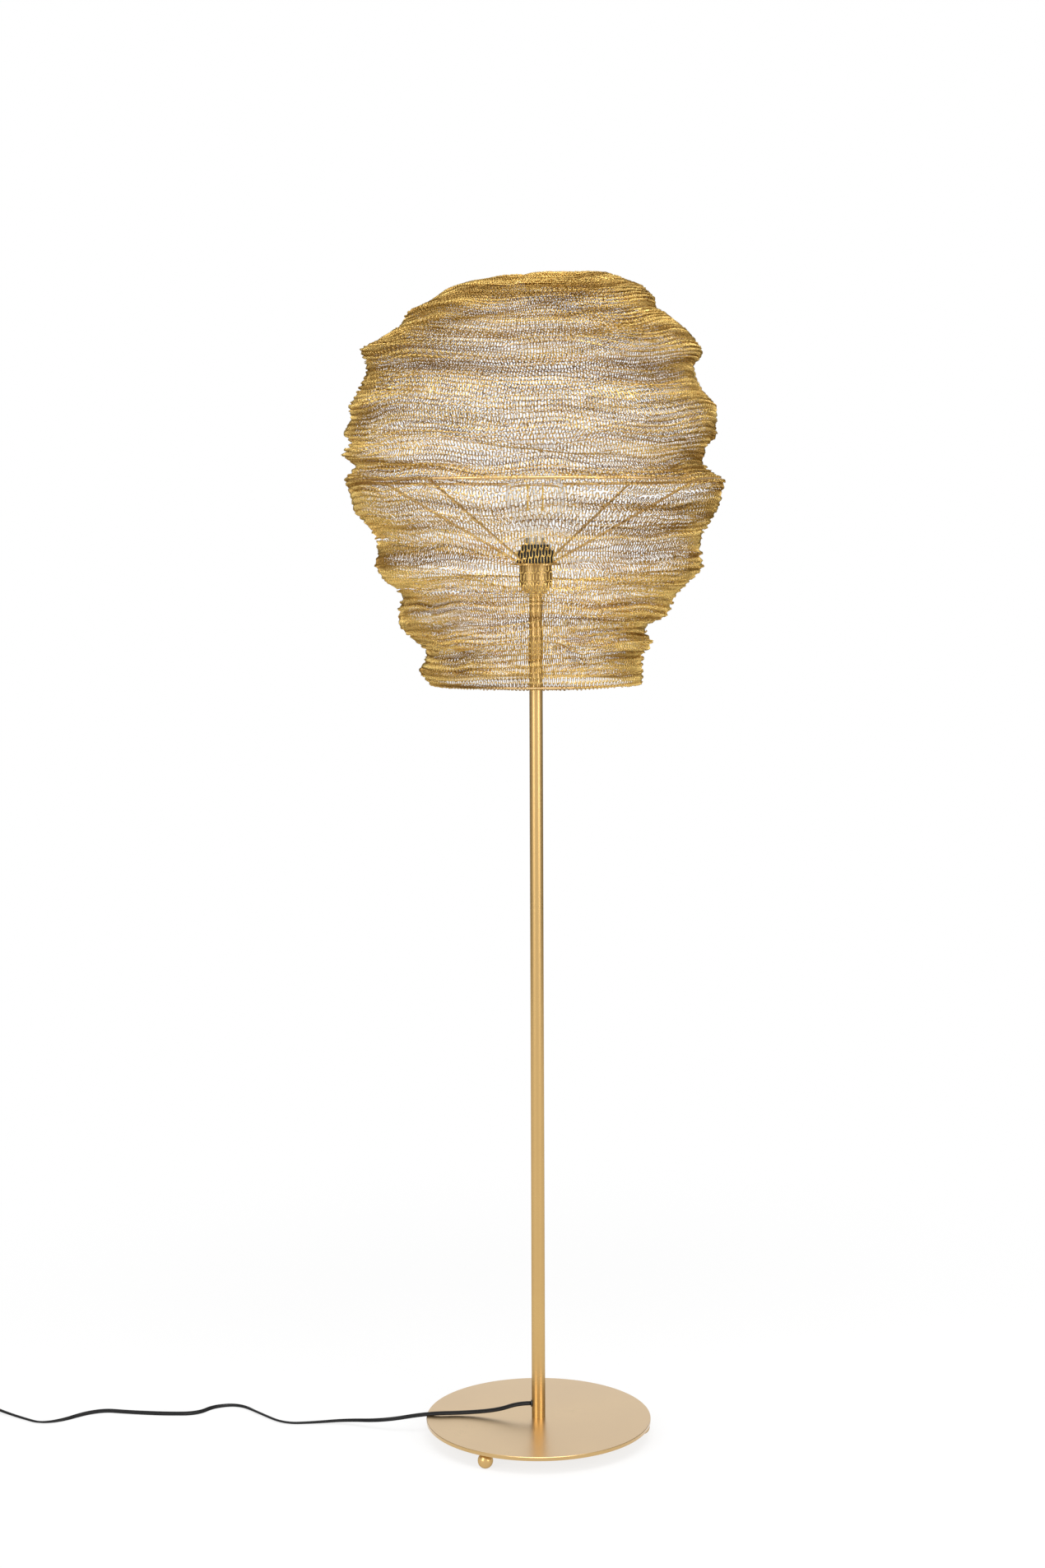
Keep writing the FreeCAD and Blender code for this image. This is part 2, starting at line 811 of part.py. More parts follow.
def bulb_cap():
    inner = bulb_cap_radius - bulb_cap_wall
    return tube(2 * bulb_cap_radius, 2 * inner, bulb_cap_bottom, tip_bottom + bulb_cap_top_rise)


def bulb_insulator():
    inner = bulb_cap_radius - bulb_cap_wall
    return turned([
        (0, tip_bottom + bulb_tip_height),
        (bulb_tip_radius, tip_bottom + bulb_tip_height),
        (inner, bulb_cap_bottom),
        (inner - seat_gap, bulb_cap_bottom + 1),
        (0, bulb_cap_bottom + 1),
    ])


def bulb_tip():
    return cylinder(2 * bulb_tip_radius, tip_bottom, tip_bottom + bulb_tip_height)


def bulb_stem():
    rim_radius = neck_radius - glass_wall - seat_gap
    return turned([
        (0, stem_bottom),
        (rim_radius, stem_bottom),
        (rim_radius, stem_bottom + stem_rim_height),
        (stem_rod_radius, tip_bottom + stem_flare_rise),
        (stem_rod_radius, tip_bottom + stem_top_rise),
        (0, tip_bottom + stem_top_rise),
    ])


def bulb_filaments():
    sticks = []
    for azimuth in filament_azimuths:
        bottom = at_azimuth(filament_circle_radius, azimuth, tip_bottom + filament_bottom_rise)
        top = at_azimuth(filament_circle_radius, azimuth, tip_bottom + filament_top_rise)
        sticks.append(rod(bottom, top, 2 * filament_radius))
    return Part.makeCompound(sticks)


def filament_wires():
    """Two wires for each filament, from the stem's rod to near the stick's two ends."""
    wires = []
    reach = filament_circle_radius - filament_radius - weld_gap
    for azimuth in filament_azimuths:
        for rise, way in ((filament_bottom_rise, 1), (filament_top_rise, -1)):
            end_height = tip_bottom + rise + way
            start_height = end_height - filament_wire_slope * (2 if way < 0 else 1)
            start = at_azimuth(stem_rod_radius + weld_gap, azimuth, start_height)
            end = at_azimuth(reach, azimuth, end_height)
            wires.append(rod(start, end, 2 * filament_wire_radius))
    return Part.makeCompound(wires)


# Foot switch


def rounded_slab(length, width, radius, low, high):
    """A slab with round corners, centred on the switch."""
    x, y = switch_centre
    half_length = length / 2
    half_width = width / 2
    diagonal = radius * (1 - math.sqrt(0.5))
    edges = []
    corners = ((1, 1), (-1, 1), (-1, -1), (1, -1))
    ends = []
    for sx, sy in corners:
        along_x = Vector(x + sx * (half_length - radius), y + sy * half_width, low)
        along_y = Vector(x + sx * half_length, y + sy * (half_width - radius), low)
        middle = Vector(x + sx * (half_length - diagonal), y + sy * (half_width - diagonal), low)
        first, last = (along_y, along_x) if sx * sy > 0 else (along_x, along_y)
        edges.append(Part.Arc(first, middle, last).toShape())
        ends.append((first, last))
    for (_, leave), (arrive, _) in zip(ends, ends[1:] + ends[:1]):
        edges.append(Part.LineSegment(leave, arrive).toShape())
    outline = Part.Wire(Part.sortEdges(edges)[0])
    return Part.Face(outline).extrude(Vector(0, 0, high - low))


def switch_cavity(low, high):
    length = switch_length - 2 * switch_wall
    width = switch_width - 2 * switch_wall
    return rounded_slab(length, width, switch_corner_radius - switch_wall, low, high)


def switch_cord_holes():
    hole = relief_neck_diameter + 2 * seat_gap
    first, last = switch_ends
    return rod_along_x(hole, first - 1, last + 1, switch_centre[1], switch_parting_height)


def switch_screw_places():
    x, y = switch_centre
    return [(x + side * switch_screw_spacing / 2, y - side * switch_screw_offset) for side in (-1, 1)]


def switch_lower_shell():
    shell = rounded_slab(switch_length, switch_width, switch_corner_radius, 0, switch_parting_height)
    shell = shell.cut(switch_cavity(switch_wall, switch_parting_height)).cut(switch_cord_holes())
    for x, y in switch_screw_places():
        post = cylinder(2 * switch_screw_diameter, switch_wall, switch_parting_height - seat_gap, x, y)
        shell = shell.fuse(post)
        head_top = switch_screw_head_height + seat_gap
        shell = shell.cut(cylinder(switch_screw_head + 2 * seat_gap, 0, head_top, x, y))
        hole = switch_screw_diameter + 2 * seat_gap
        shell = shell.cut(cylinder(hole, head_top, switch_parting_height, x, y))
    return shell


def switch_upper_shell():
    x, y = switch_centre
    shell = rounded_slab(
        switch_length, switch_width, switch_corner_radius, switch_parting_height, switch_height
    )
    top_edges = [edge for edge in shell.Edges if edge.BoundBox.ZMin > switch_height - 0.01]
    shell = shell.makeFillet(switch_wall * 0.9, top_edges)
    shell = shell.cut(switch_cavity(switch_parting_height, switch_height - switch_wall))
    shell = shell.cut(switch_cord_holes())
    mouth = button_diameter + 2 * running_gap
    shell = shell.cut(cylinder(mouth, switch_height - 2 * switch_wall, switch_height + 1, x, y))
    for px, py in switch_screw_places():
        post = cylinder(
            2 * switch_screw_diameter, switch_parting_height, switch_height - switch_wall, px, py
        )
        hole = cylinder(
            switch_screw_diameter + 2 * seat_gap, switch_parting_height, switch_height - 2 * switch_wall, px, py
        )
        shell = shell.fuse(post).cut(hole)
    return shell


def switch_screws():
    screws = []
    for x, y in switch_screw_places():
        head = cylinder(switch_screw_head, 0, switch_screw_head_height, x, y)
        shank = cylinder(
            switch_screw_diameter, switch_screw_head_height, switch_height - 2.5 * switch_wall, x, y
        )
        screws.append(head.fuse(shank).removeSplitter())
    return Part.makeCompound(screws)



def switch_button():
    x, y = switch_centre
    top = switch_height + button_stand_out
    cap = cylinder(button_diameter, flange_bottom, top, x, y)
    top_edge = [edge for edge in cap.Edges if edge.BoundBox.ZMin > top - 0.01]
    cap = cap.makeFillet(button_dome_fillet, top_edge)
    flange = cylinder(button_flange_diameter, flange_bottom, flange_top, x, y)
    stem = cylinder(button_stem_diameter, flange_bottom - button_stem_length, flange_bottom, x, y)
    return cap.fuse(flange).fuse(stem).removeSplitter()


def switch_spring():
    x, y = switch_centre
    low = block_high + seat_gap + spring_wire / 2
    high = flange_bottom - seat_gap - spring_wire / 2

    def centre_line(turn):
        angle = 2 * math.pi * turn
        height = low + (high - low) * turn / spring_turns
        return Vector(x + spring_radius * math.cos(angle), y + spring_radius * math.sin(angle), height)

    way = Vector(0, 1, 0)
    wire = wound_wire(centre_line, spring_turns, way, way, spring_wire)
    print(f"switch_spring: least gap between turns {least_gap(wire, spring_wire):.2f} mm")
    return swept(wire, spring_wire, centre_line(0) - way * spring_wire, way)


def switch_block():
    x, y = switch_centre
    half_length = switch_block_length / 2
    half_width = switch_block_width / 2
    body = box(
        (x - half_length, y - half_width, block_low), (x + half_length, y + half_width, block_high)
    )
    well = button_stem_diameter + 2 * running_gap
    return body.cut(cylinder(well, block_low + 1, block_high, x, y))


def switch_contacts():
    x, y = switch_centre
    strips = []
    half = switch_contact_length / 2
    for side in (-1, 1):
        inner = x + side * (switch_block_length / 2 - 1)
        outer = inner - side * switch_contact_thickness
        low = (min(inner, outer), y - half, block_high)
        high = (max(inner, outer), y + half, block_high + switch_contact_height)
        strips.append(box(low, high))
    return Part.makeCompound(strips)


def switch_reliefs():
    """A tapered sleeve outside each end of the switch, with a neck through the wall."""
    y = switch_centre[1]
    sleeves = []
    for end, side in zip(switch_ends, (-1, 1)):
        way = Vector(side, 0, 0)
        origin = Vector(end, y, switch_parting_height)
        sleeve = Part.makeCone(relief_base_diameter / 2, relief_tip_diameter / 2, relief_length, origin, way)
        inside = origin - way * (switch_wall + relief_collar_length + seat_gap)
        neck_length = switch_wall + relief_collar_length + seat_gap
        neck = Part.makeCylinder(relief_neck_diameter / 2, neck_length, inside, way)
        collar = Part.makeCylinder(relief_collar_diameter / 2, relief_collar_length, inside, way)
        sleeves.append(sleeve.fuse(neck).fuse(collar).removeSplitter())
    return Part.makeCompound(sleeves)


def switch_leads():
    """The ends of the cord's jacket inside the switch."""
    y = switch_centre[1]
    first, last = switch_ends
    depth = switch_wall + relief_collar_length + seat_gap
    left = rod_along_x(cord_diameter, first + depth, first + depth + lead_length, y, switch_parting_height)
    right = rod_along_x(cord_diameter, last - depth - lead_length, last - depth, y, switch_parting_height)
    return Part.makeCompound([left, right])


def switch_clamps():
    """A bar over the jacket at each end, which stops it from pulling out."""
    x, y = switch_centre
    depth = switch_wall + relief_collar_length + seat_gap + lead_length / 2
    low = switch_parting_height + cord_radius + seat_gap
    bars = []
    for side in (-1, 1):
        middle = x + side * (switch_length / 2 - depth)
        bars.append(box(
            (middle - clamp_width / 2, y - clamp_length / 2, low),
            (middle + clamp_width / 2, y + clamp_length / 2, low + clamp_thickness),
        ))
    return Part.makeCompound(bars)


# Plug


def plug_section(width, height, x):
    """A rounded rectangle across the plug's axis."""
    y = plug_rear[1]
    half_width = width / 2
    half_height = height / 2
    radius = plug_corner_radius
    diagonal = radius * (1 - math.sqrt(0.5))
    edges = []
    ends = []
    for sy, sz in ((1, 1), (-1, 1), (-1, -1), (1, -1)):
        level = Vector(x, y + sy * (half_width - radius), plug_axis_height + sz * half_height)
        upright = Vector(x, y + sy * half_width, plug_axis_height + sz * (half_height - radius))
        middle = Vector(
            x, y + sy * (half_width - diagonal), plug_axis_height + sz * (half_height - diagonal)
        )
        first, last = (upright, level) if sy * sz > 0 else (level, upright)
        edges.append(Part.Arc(first, middle, last).toShape())
        ends.append((first, last))
    for (_, leave), (arrive, _) in zip(ends, ends[1:] + ends[:1]):
        edges.append(Part.LineSegment(leave, arrive).toShape())
    return Part.Wire(Part.sortEdges(edges)[0])


def plug_body():
    rear = plug_section(plug_rear_width, plug_rear_height, plug_rear[0])
    front = plug_section(plug_front_width, plug_front_height, plug_front)
    return Part.makeLoft([rear, front], True, True)


def pin_heights():
    y = plug_rear[1]
    return [(y - pin_spacing / 2, plug_axis_height), (y + pin_spacing / 2, plug_axis_height)]


def plug_pins():
    pins = []
    for y, z in pin_heights():
        sleeve_end = plug_front + pin_sleeve_length
        core = rod_along_x(pin_core_diameter, plug_front, sleeve_end, y, z)
        tip = rod_along_x(pin_diameter, sleeve_end, plug_front + pin_length, y, z)
        end_edge = [edge for edge in tip.Edges if edge.BoundBox.XMin > plug_front + pin_length - 0.01]
        tip = tip.makeChamfer(pin_tip_chamfer, end_edge)
        pins.append(core.fuse(tip).removeSplitter())
    return Part.makeCompound(pins)


def pin_sleeves():
    sleeves = []
    for y, z in pin_heights():
        end = plug_front + pin_sleeve_length
        outer = rod_along_x(pin_sleeve_diameter, plug_front, end, y, z)
        sleeves.append(outer.cut(rod_along_x(pin_core_diameter + seat_gap, plug_front, end, y, z)))
    return Part.makeCompound(sleeves)


def plug_relief():
    tip = Vector(plug_relief_tip, plug_rear[1], plug_axis_height)
    return Part.makeCone(
        relief_tip_diameter / 2, plug_relief_base / 2, plug_relief_length, tip, Vector(1, 0, 0)
    )


# Put-away coil

coil_inner_radius = coil_outer_radius - coil_pitch * coil_turns / 2


def coil_centre_line(turn):
    """Clockwise from the left: in to the middle of the turns, up a layer in that half turn, and out."""
    radius = coil_outer_radius - coil_pitch * min(turn, coil_turns - turn)
    share = min(max((turn - coil_turns / 2) / 0.5 + 0.5, 0), 1)
    climb = share * share * (3 - 2 * share)
    angle = math.pi - 2 * math.pi * turn
    return Vector(
        coil_centre[0] + radius * math.cos(angle),
        coil_centre[1] + radius * math.sin(angle),
        coil_low + coil_layer_step * climb,
    )


def cord_coil():
    enter = Vector(0, 1, 0)
    wire = wound_wire(coil_centre_line, coil_turns, enter, Vector(1, 0, 0), coil_straight_end)
    solid = swept(wire, cord_diameter, coil_centre_line(0) - enter * coil_straight_end, enter)
    report_tube("cord_coil", solid, wire, cord_diameter)
    print(f"  least gap between turns {least_gap(wire, cord_diameter):.2f} mm")
    return solid


def coil_tie():
    """A band round the bundle of turns, on the coil's near side."""
    x, y = coil_centre
    near = coil_outer_radius + cord_radius + rest_gap
    far = coil_inner_radius - cord_radius - rest_gap
    low = coil_low - cord_radius - rest_gap
    high = coil_low + coil_layer_step + cord_radius + rest_gap
    half = coil_tie_width / 2
    wall = coil_tie_thickness
    outer = box((x - half, y - near - wall, low - wall), (x + half, y - far + wall, high + wall))
    inner = box((x - half, y - near, low), (x + half, y - far, high))
    return outer.cut(inner)


nodes = {
    "base_plate": base_plate,
    "ball_feet": ball_feet,
    "foot_studs": foot_studs,
    "base_washer": base_washer,
    "base_bolt": base_bolt,
    "pole_end_plug": pole_end_plug,
    "pole": pole,
    "cord_bush": cord_bush,
    "pole_cord": pole_cord,
    "pole_top_plug": pole_top_plug,
    "holder_nipple": holder_nipple,
    "nipple_nut": nipple_nut,
    "holder_cup": holder_cup,
    "holder_cap": holder_cap,
    "holder_body": holder_body,
    "contact_block": contact_block,
    "screw_shell": screw_shell,
    "centre_contact": centre_contact,
    "terminal_screws": terminal_screws,
    "cord_grip": cord_grip,
    "core_wires": core_wires,
    "shade_ring": shade_ring,
    "carrier_ring": carrier_ring,
    "spokes": spokes,
    "main_ring": lambda: hoop(main_ring_radius, main_ring_wire, main_ring_height),
    "bottom_ring": lambda: hoop(bottom_ring_radius, bottom_ring_wire, bottom_ring_height),
    "mesh_shade": mesh_shade,
    "top_tie": top_tie,
    "bulb_glass": bulb_glass,
    "bulb_cap": bulb_cap,
    "bulb_insulator": bulb_insulator,
    "bulb_tip": bulb_tip,
    "bulb_stem": bulb_stem,
    "bulb_filaments": bulb_filaments,
    "filament_wires": filament_wires,
    "switch_lower_shell": switch_lower_shell,
    "switch_upper_shell": switch_upper_shell,
    "switch_screws": switch_screws,
    "switch_button": switch_button,
    "switch_spring": switch_spring,
    "switch_block": switch_block,
    "switch_contacts": switch_contacts,
    "switch_reliefs": switch_reliefs,
    "switch_leads": switch_leads,
    "switch_clamps": switch_clamps,
    "plug_body": plug_body,
    "plug_pins": plug_pins,
    "pin_sleeves": pin_sleeves,
    "plug_relief": plug_relief,
    "cord_to_switch": lambda: cord_stretch("cord_to_switch", route_to_switch),
    "cord_to_coil": lambda: cord_stretch("cord_to_coil", route_to_coil),
    "cord_coil": cord_coil,
    "cord_to_plug": lambda: cord_stretch("cord_to_plug", route_to_plug),
    "coil_tie": coil_tie,
}

os.makedirs("parts", exist_ok=True)
for name, make in nodes.items():
    shape = make()
    if not shape.isValid():
        raise ValueError(f"{name} is not a valid shape")
    shape.exportStep(f"parts/{name}.step")
print(f"{len(nodes)} nodes written")
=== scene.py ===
import math

import bpy
import numpy as np
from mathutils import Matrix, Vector


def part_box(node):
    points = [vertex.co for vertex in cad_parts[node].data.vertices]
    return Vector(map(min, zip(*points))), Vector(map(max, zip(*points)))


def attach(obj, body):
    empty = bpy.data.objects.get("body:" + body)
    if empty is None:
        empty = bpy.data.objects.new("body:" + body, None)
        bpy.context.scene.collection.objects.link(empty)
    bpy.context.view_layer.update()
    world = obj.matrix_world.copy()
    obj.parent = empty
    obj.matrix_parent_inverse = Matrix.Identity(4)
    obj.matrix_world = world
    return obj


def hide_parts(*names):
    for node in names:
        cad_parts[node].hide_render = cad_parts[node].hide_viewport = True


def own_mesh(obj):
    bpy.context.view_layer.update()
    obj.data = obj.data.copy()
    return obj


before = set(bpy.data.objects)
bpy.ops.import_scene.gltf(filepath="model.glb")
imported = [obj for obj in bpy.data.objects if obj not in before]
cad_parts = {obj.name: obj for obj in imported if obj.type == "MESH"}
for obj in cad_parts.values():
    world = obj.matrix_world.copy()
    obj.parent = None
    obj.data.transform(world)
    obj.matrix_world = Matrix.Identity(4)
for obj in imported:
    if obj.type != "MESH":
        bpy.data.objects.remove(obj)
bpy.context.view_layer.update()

# camera and studio

camera = {
    "place": (-0.0184, -3.352, 1.216),
    "lens": 57.42,
    "sensor": 36,  # mm, along the picture's long side
    "shiftX": 0.0005,
    "shiftY": -0.1642,
    "roll": 0.2,  # degrees, the picture leans a little
    "farthest": 200,
}

studio = {
    "floorSize": 40.0,
    "floorGrey": 0.94,
    "floorWhite": 0.78,  # how much of the floor by the lamp is plain white, the rest takes the shadow
    "whiteFrom": 0.3,  # from this far away the floor turns plain white
    "whiteBy": 1.5,  # and by this far it is
    "skyLight": 0.62,
    "lamps": {
        "keyLeft": {"place": (-2.4, -2.6, 1.9), "aim": (0, 0, 1.0), "size": (1.4, 2.8), "power": 42},
        "keyRight": {"place": (2.5, -2.5, 1.8), "aim": (0, 0, 1.0), "size": (1.4, 2.8), "power": 44},
        "top": {"place": (0.2, -1.6, 3.7), "aim": (0, 0, 1.1), "size": (2.6, 1.6), "power": 70},
    },
    "flags": {
        "flagLeft": {"x": -1.15, "depth": (-0.3, 3.0), "low": 0.35, "top": 2.6, "grey": 0.4},
        "flagRight": {"x": 1.15, "depth": (-0.3, 3.0), "low": 0.35, "top": 2.6, "grey": 0.4},
    },
}


def makeCamera():
    data = bpy.data.cameras.new("camera")
    data.sensor_fit = "AUTO"
    data.sensor_width = camera["sensor"]
    data.lens = camera["lens"]
    data.shift_x = camera["shiftX"]
    data.shift_y = camera["shiftY"]
    data.clip_end = camera["farthest"]
    made = bpy.data.objects.new("camera", data)
    made.location = camera["place"]
    made.rotation_euler = (math.radians(90), math.radians(camera["roll"]), 0)
    bpy.context.scene.collection.objects.link(made)
    bpy.context.scene.camera = made


makeCamera()
bpy.context.scene.view_settings.view_transform = "Standard"
print("camera set")


def addMesh(name, points, faces):
    mesh = bpy.data.meshes.new(name)
    mesh.from_pydata([tuple(p) for p in points], [], faces)
    mesh.validate()
    mesh.polygons.foreach_set("use_smooth", [True] * len(mesh.polygons))
    made = bpy.data.objects.new(name, mesh)
    bpy.context.scene.collection.objects.link(made)
    return made


def tubeFaces(rings, size, leftHanded=False):
    # faces from ring to ring of a tube, and its two ends. The rings' points run right-handed along
    # the tube, or else left-handed
    faces = []
    for k in range(rings - 1):
        here, there = k * size, (k + 1) * size
        for j in range(size):
            n = (j + 1) % size
            face = (here + j, here + n, there + n, there + j)
            faces.append((face[0], face[3], face[2], face[1]) if leftHanded else face)
    first, last = tuple(range(size)), tuple(range((rings - 1) * size, rings * size))
    faces += [first, last[::-1]] if leftHanded else [first[::-1], last]
    return faces


# flat two-core cord, as one NURBS line per stretch, points in metres

cord = {
    "width": 0.0054,
    "core": 0.00138,  # radius of each core's jacket
    "ringStep": 0.0022,
    "ringPoints": 22,
    "lineSteps": 14,  # of the line to each of its control points
    "floorGap": 0.0002,  # the jacket stays at least this far above the floor
}

rim = -0.15  # left edge of the base plate
floorLine = 0.0022  # height of the cord's middle where it lies on the floor

toSwitch = [
    (-0.0102, 0.0, 0.041),
    (-0.027, 0.0, 0.041),
    (-0.0542, -0.0002, 0.0321),
    (rim + 0.052, 0.005, 0.0268),
    (rim, 0.0012, 0.0273),
    (rim - 0.058, 0.0112, 0.0143),
    (rim - 0.112, 0.0398, 0.0052),
    (rim - 0.154, 0.0394, floorLine),
    (rim - 0.195, 0.036, floorLine),
    (rim - 0.232, 0.076, floorLine),
    (rim - 0.262, 0.1098, floorLine),
    (rim - 0.297, 0.1037, floorLine),
    (rim - 0.316, 0.0738, floorLine),
    (rim - 0.358, 0.0725, floorLine),
    (rim - 0.412, 0.0802, floorLine),
    (rim - 0.456, 0.0896, floorLine),
    (rim - 0.517, 0.0347, floorLine),
    (rim - 0.559, 0.0638, floorLine),
    (rim - 0.588, 0.0834, 0.0040),
    (rim - 0.61, 0.096, 0.008),
    (-0.78, 0.096, 0.008),
]

# how the flat cord turns over on its way: share of its length, degrees from level
turnsOver = [
    (0, 70), (0.17, 55), (0.25, 42), (0.32, 12), (0.42, -20), (0.48, -20), (0.56, 35), (0.63, 84),
    (0.7, 55), (0.78, 60), (0.86, -20), (0.94, -10), (1, 0),
]

coil = {
    "centre": (-0.916, 0.19),
    "outer": 0.036,
    "turns": 4.25,
    "pitch": 0.006,
    "low": 0.0038,
    "layer": 0.006,
    "climbTurns": 0.5,
    "pointsPerTurn": 16,
}

plugWay = [
    (-0.904, 0.096, 0.008),
    (-0.932, 0.096, 0.008),
    (-0.95, 0.119, 0.0054),
    (-0.952, 0.151, 0.0038),
    (-0.952, 0.184, 0.0038),
]
plugEnd = [
    (-0.91, 0.226, 0.0098),
    (-0.901, 0.226, 0.0098),
    (-0.887, 0.226, 0.00685),
    (-0.878, 0.226, 0.00685),
]


def coilPoints():
    # in to the middle of the turns, up a layer in that half turn, and out again
    points = []
    count = round(coil["turns"] * coil["pointsPerTurn"])
    for k in range(count + 1):
        turn = coil["turns"] * k / count
        radius = coil["outer"] - coil["pitch"] * min(turn, coil["turns"] - turn)
        share = min(max((turn - coil["turns"] / 2) / coil["climbTurns"] + 0.5, 0), 1)
        climb = share * share * (3 - 2 * share)
        angle = math.pi - 2 * math.pi * turn
        points.append((
            coil["centre"][0] + radius * math.cos(angle),
            coil["centre"][1] + radius * math.sin(angle),
            coil["low"] + coil["layer"] * climb,
        ))
    return points


def smoothLine(points):
    # the points of the NURBS line that a route's control points shape
    curve = bpy.data.curves.new("route", "CURVE")
    curve.dimensions = "3D"
    curve.resolution_u = cord["lineSteps"]
    spline = curve.splines.new("NURBS")
    spline.points.add(len(points) - 1)
    for control, point in zip(spline.points, points):
        control.co = (*point, 1)
    spline.order_u = 3
    spline.use_endpoint_u = True
    holder = bpy.data.objects.new("route", curve)
    bpy.context.scene.collection.objects.link(holder)
    mesh = bpy.data.meshes.new_from_object(holder)
    line = [tuple(v.co) for v in mesh.vertices]
    bpy.data.objects.remove(holder)
    bpy.data.meshes.remove(mesh)
    bpy.data.curves.remove(curve)
    return line


def evenLine(line, step):
    # the same line with its points evenly apart, and how far along it each one lies
    points = np.array(line)
    along = np.concatenate([[0], np.cumsum(np.linalg.norm(np.diff(points, axis=0), axis=1))])
    count = max(int(along[-1] / step), 2)
    at = np.linspace(0, along[-1], count + 1)
    return np.stack([np.interp(at, along, points[:, k]) for k in range(3)], axis=1), at


def twinSection():
    # outline of two round cores side by side, joined by a web
    half = cord["width"] / 2 - cord["core"]
    waist = math.acos(half / cord["core"])
    points = []
    perSide = cord["ringPoints"] // 2
    for side in (1, -1):
        for k in range(perSide):
            angle = -(math.pi - waist) + 2 * (math.pi - waist) * (k + 0.5) / perSide
            x = side * (half + cord["core"] * math.cos(angle))
            points.append((x, side * cord["core"] * math.sin(angle)))
    return points


def makeTwinCord(name, line, twist):
    centres, along = evenLine(line, cord["ringStep"])
    ways = np.gradient(centres, axis=0)
    ways /= np.linalg.norm(ways, axis=1)[:, None]
    section = twinSection()
    points = []
    for centre, way, at in zip(centres, ways, along):
        side = np.cross(way, (0, 0, 1))
        side /= np.linalg.norm(side)
        over = np.cross(side, way)
        turn = twist(at / along[-1])
        ring = [
            centre
            + side * (x * math.cos(turn) - y * math.sin(turn))
            + over * (x * math.sin(turn) + y * math.cos(turn))
            for x, y in section
        ]
        lift = max(cord["floorGap"] - min(p[2] for p in ring), 0)
        points += [p + np.array((0, 0, lift)) for p in ring]
    made = addMesh(name, points, tubeFaces(len(centres), len(section)))
    return made, [tuple(c) for c in centres]


# the switch's spring, wound here

spring = {
    "centre": (-0.842, 0.096),
    "wire": 0.00035,  # radius
    "radius": 0.0054,
    "turns": 4,
    "press": 0.0025,  # how far the button goes down
    "perTurn": 28,
    "sides": 8,
}


def makeSpring():
    low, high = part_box("switch_spring")
    count, sides = spring["turns"] * spring["perTurn"], spring["sides"]
    bottom, top = low.z + spring["wire"], high.z - spring["wire"]
    points = []
    for k in range(count + 1):
        angle = 2 * math.pi * k / spring["perTurn"]
        middle = bottom + (top - bottom) * k / count
        for j in range(sides):
            around = 2 * math.pi * j / sides
            radius = spring["radius"] + spring["wire"] * math.cos(around)
            points.append((
                spring["centre"][0] + radius * math.cos(angle),
                spring["centre"][1] + radius * math.sin(angle),
                middle + spring["wire"] * math.sin(around),
            ))
    made = addMesh("spring_wire", points, tubeFaces(count + 1, sides, leftHanded=True))
    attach(made, "stand")
    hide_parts("switch_spring")
    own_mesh(made)
    return made


springWire = makeSpring()
print("spring wound")


def makeCords():
    at, degrees = np.array(turnsOver, dtype=float).T
    floorCord, floorPath = makeTwinCord(
        "floor_cord", smoothLine(toSwitch), lambda share: math.radians(np.interp(share, at, degrees)),
    )
    plugCord, plugPath = makeTwinCord(
        "plug_cord", smoothLine(plugWay + coilPoints() + plugEnd), lambda share: 0.0,
    )
    for piece in (floorCord, plugCord):
        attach(piece, "stand")
    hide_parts("cord_to_switch")
    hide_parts("cord_to_coil", "cord_coil", "cord_to_plug")
    return floorCord, plugCord


floorCord, plugCord = makeCords()
print("cords laid")


# materials: maths on sockets reads as arithmetic


class Signal:
    def __init__(self, graph, socket):
        self.graph = graph
        self.socket = socket

    def __add__(self, other):
        return self.graph.maths("ADD", self, other)

    def __radd__(self, other):
        return self.graph.maths("ADD", other, self)

    def __sub__(self, other):
        return self.graph.maths("SUBTRACT", self, other)

    def __rsub__(self, other):
        return self.graph.maths("SUBTRACT", other, self)

    def __mul__(self, other):
        return self.graph.maths("MULTIPLY", self, other)

    def __rmul__(self, other):
        return self.graph.maths("MULTIPLY", other, self)


class Graph:
    def __init__(self, tree):
        self.tree = tree
        tree.nodes.clear()

    def add(self, kind, settings=None, inputs=None, output=0):
        node = self.tree.nodes.new(kind)
        for key, value in (settings or {}).items():
            setattr(node, key, value)
        for key, value in (inputs or {}).items():
            socket = node.inputs[key]
            if isinstance(value, Signal):
                self.tree.links.new(value.socket, socket)
            elif socket.type == "RGBA" and len(value) == 3:
                socket.default_value = (*value, 1)
            else:
                socket.default_value = value
        return Signal(self, node.outputs[output]) if len(node.outputs) else None

    def maths(self, operation, first, second):
        return self.add("ShaderNodeMath", {"operation": operation}, {0: first, 1: second})

    def place(self):
        return self.add("ShaderNodeTexCoord", output="Object")

    def noise(self, place, scale, detail=2.0, rough=0.5):
        return self.add(
            "ShaderNodeTexNoise", {},
            {"Vector": place, "Scale": scale, "Detail": detail, "Roughness": rough},
        )

    def spread(self, value, low, high):
        # stretches a noise from this span to 0..1
        return self.add(
            "ShaderNodeMapRange", {"clamp": True},
            {"Value": value, "From Min": low, "From Max": high, "To Min": 0.0, "To Max": 1.0},
        )

    def blend(self, factor, first, second):
        return self.add(
            "ShaderNodeMix", {"data_type": "RGBA"}, {0: factor, 6: first, 7: second}, output=2,
        )

    def bump(self, height, strength, distance):
        return self.add(
            "ShaderNodeBump", {}, {"Height": height, "Strength": strength, "Distance": distance},
            output="Normal",
        )

    def stretched(self, place, scale):
        return self.add("ShaderNodeMapping", {"vector_type": "POINT"}, {"Vector": place, "Scale": scale})


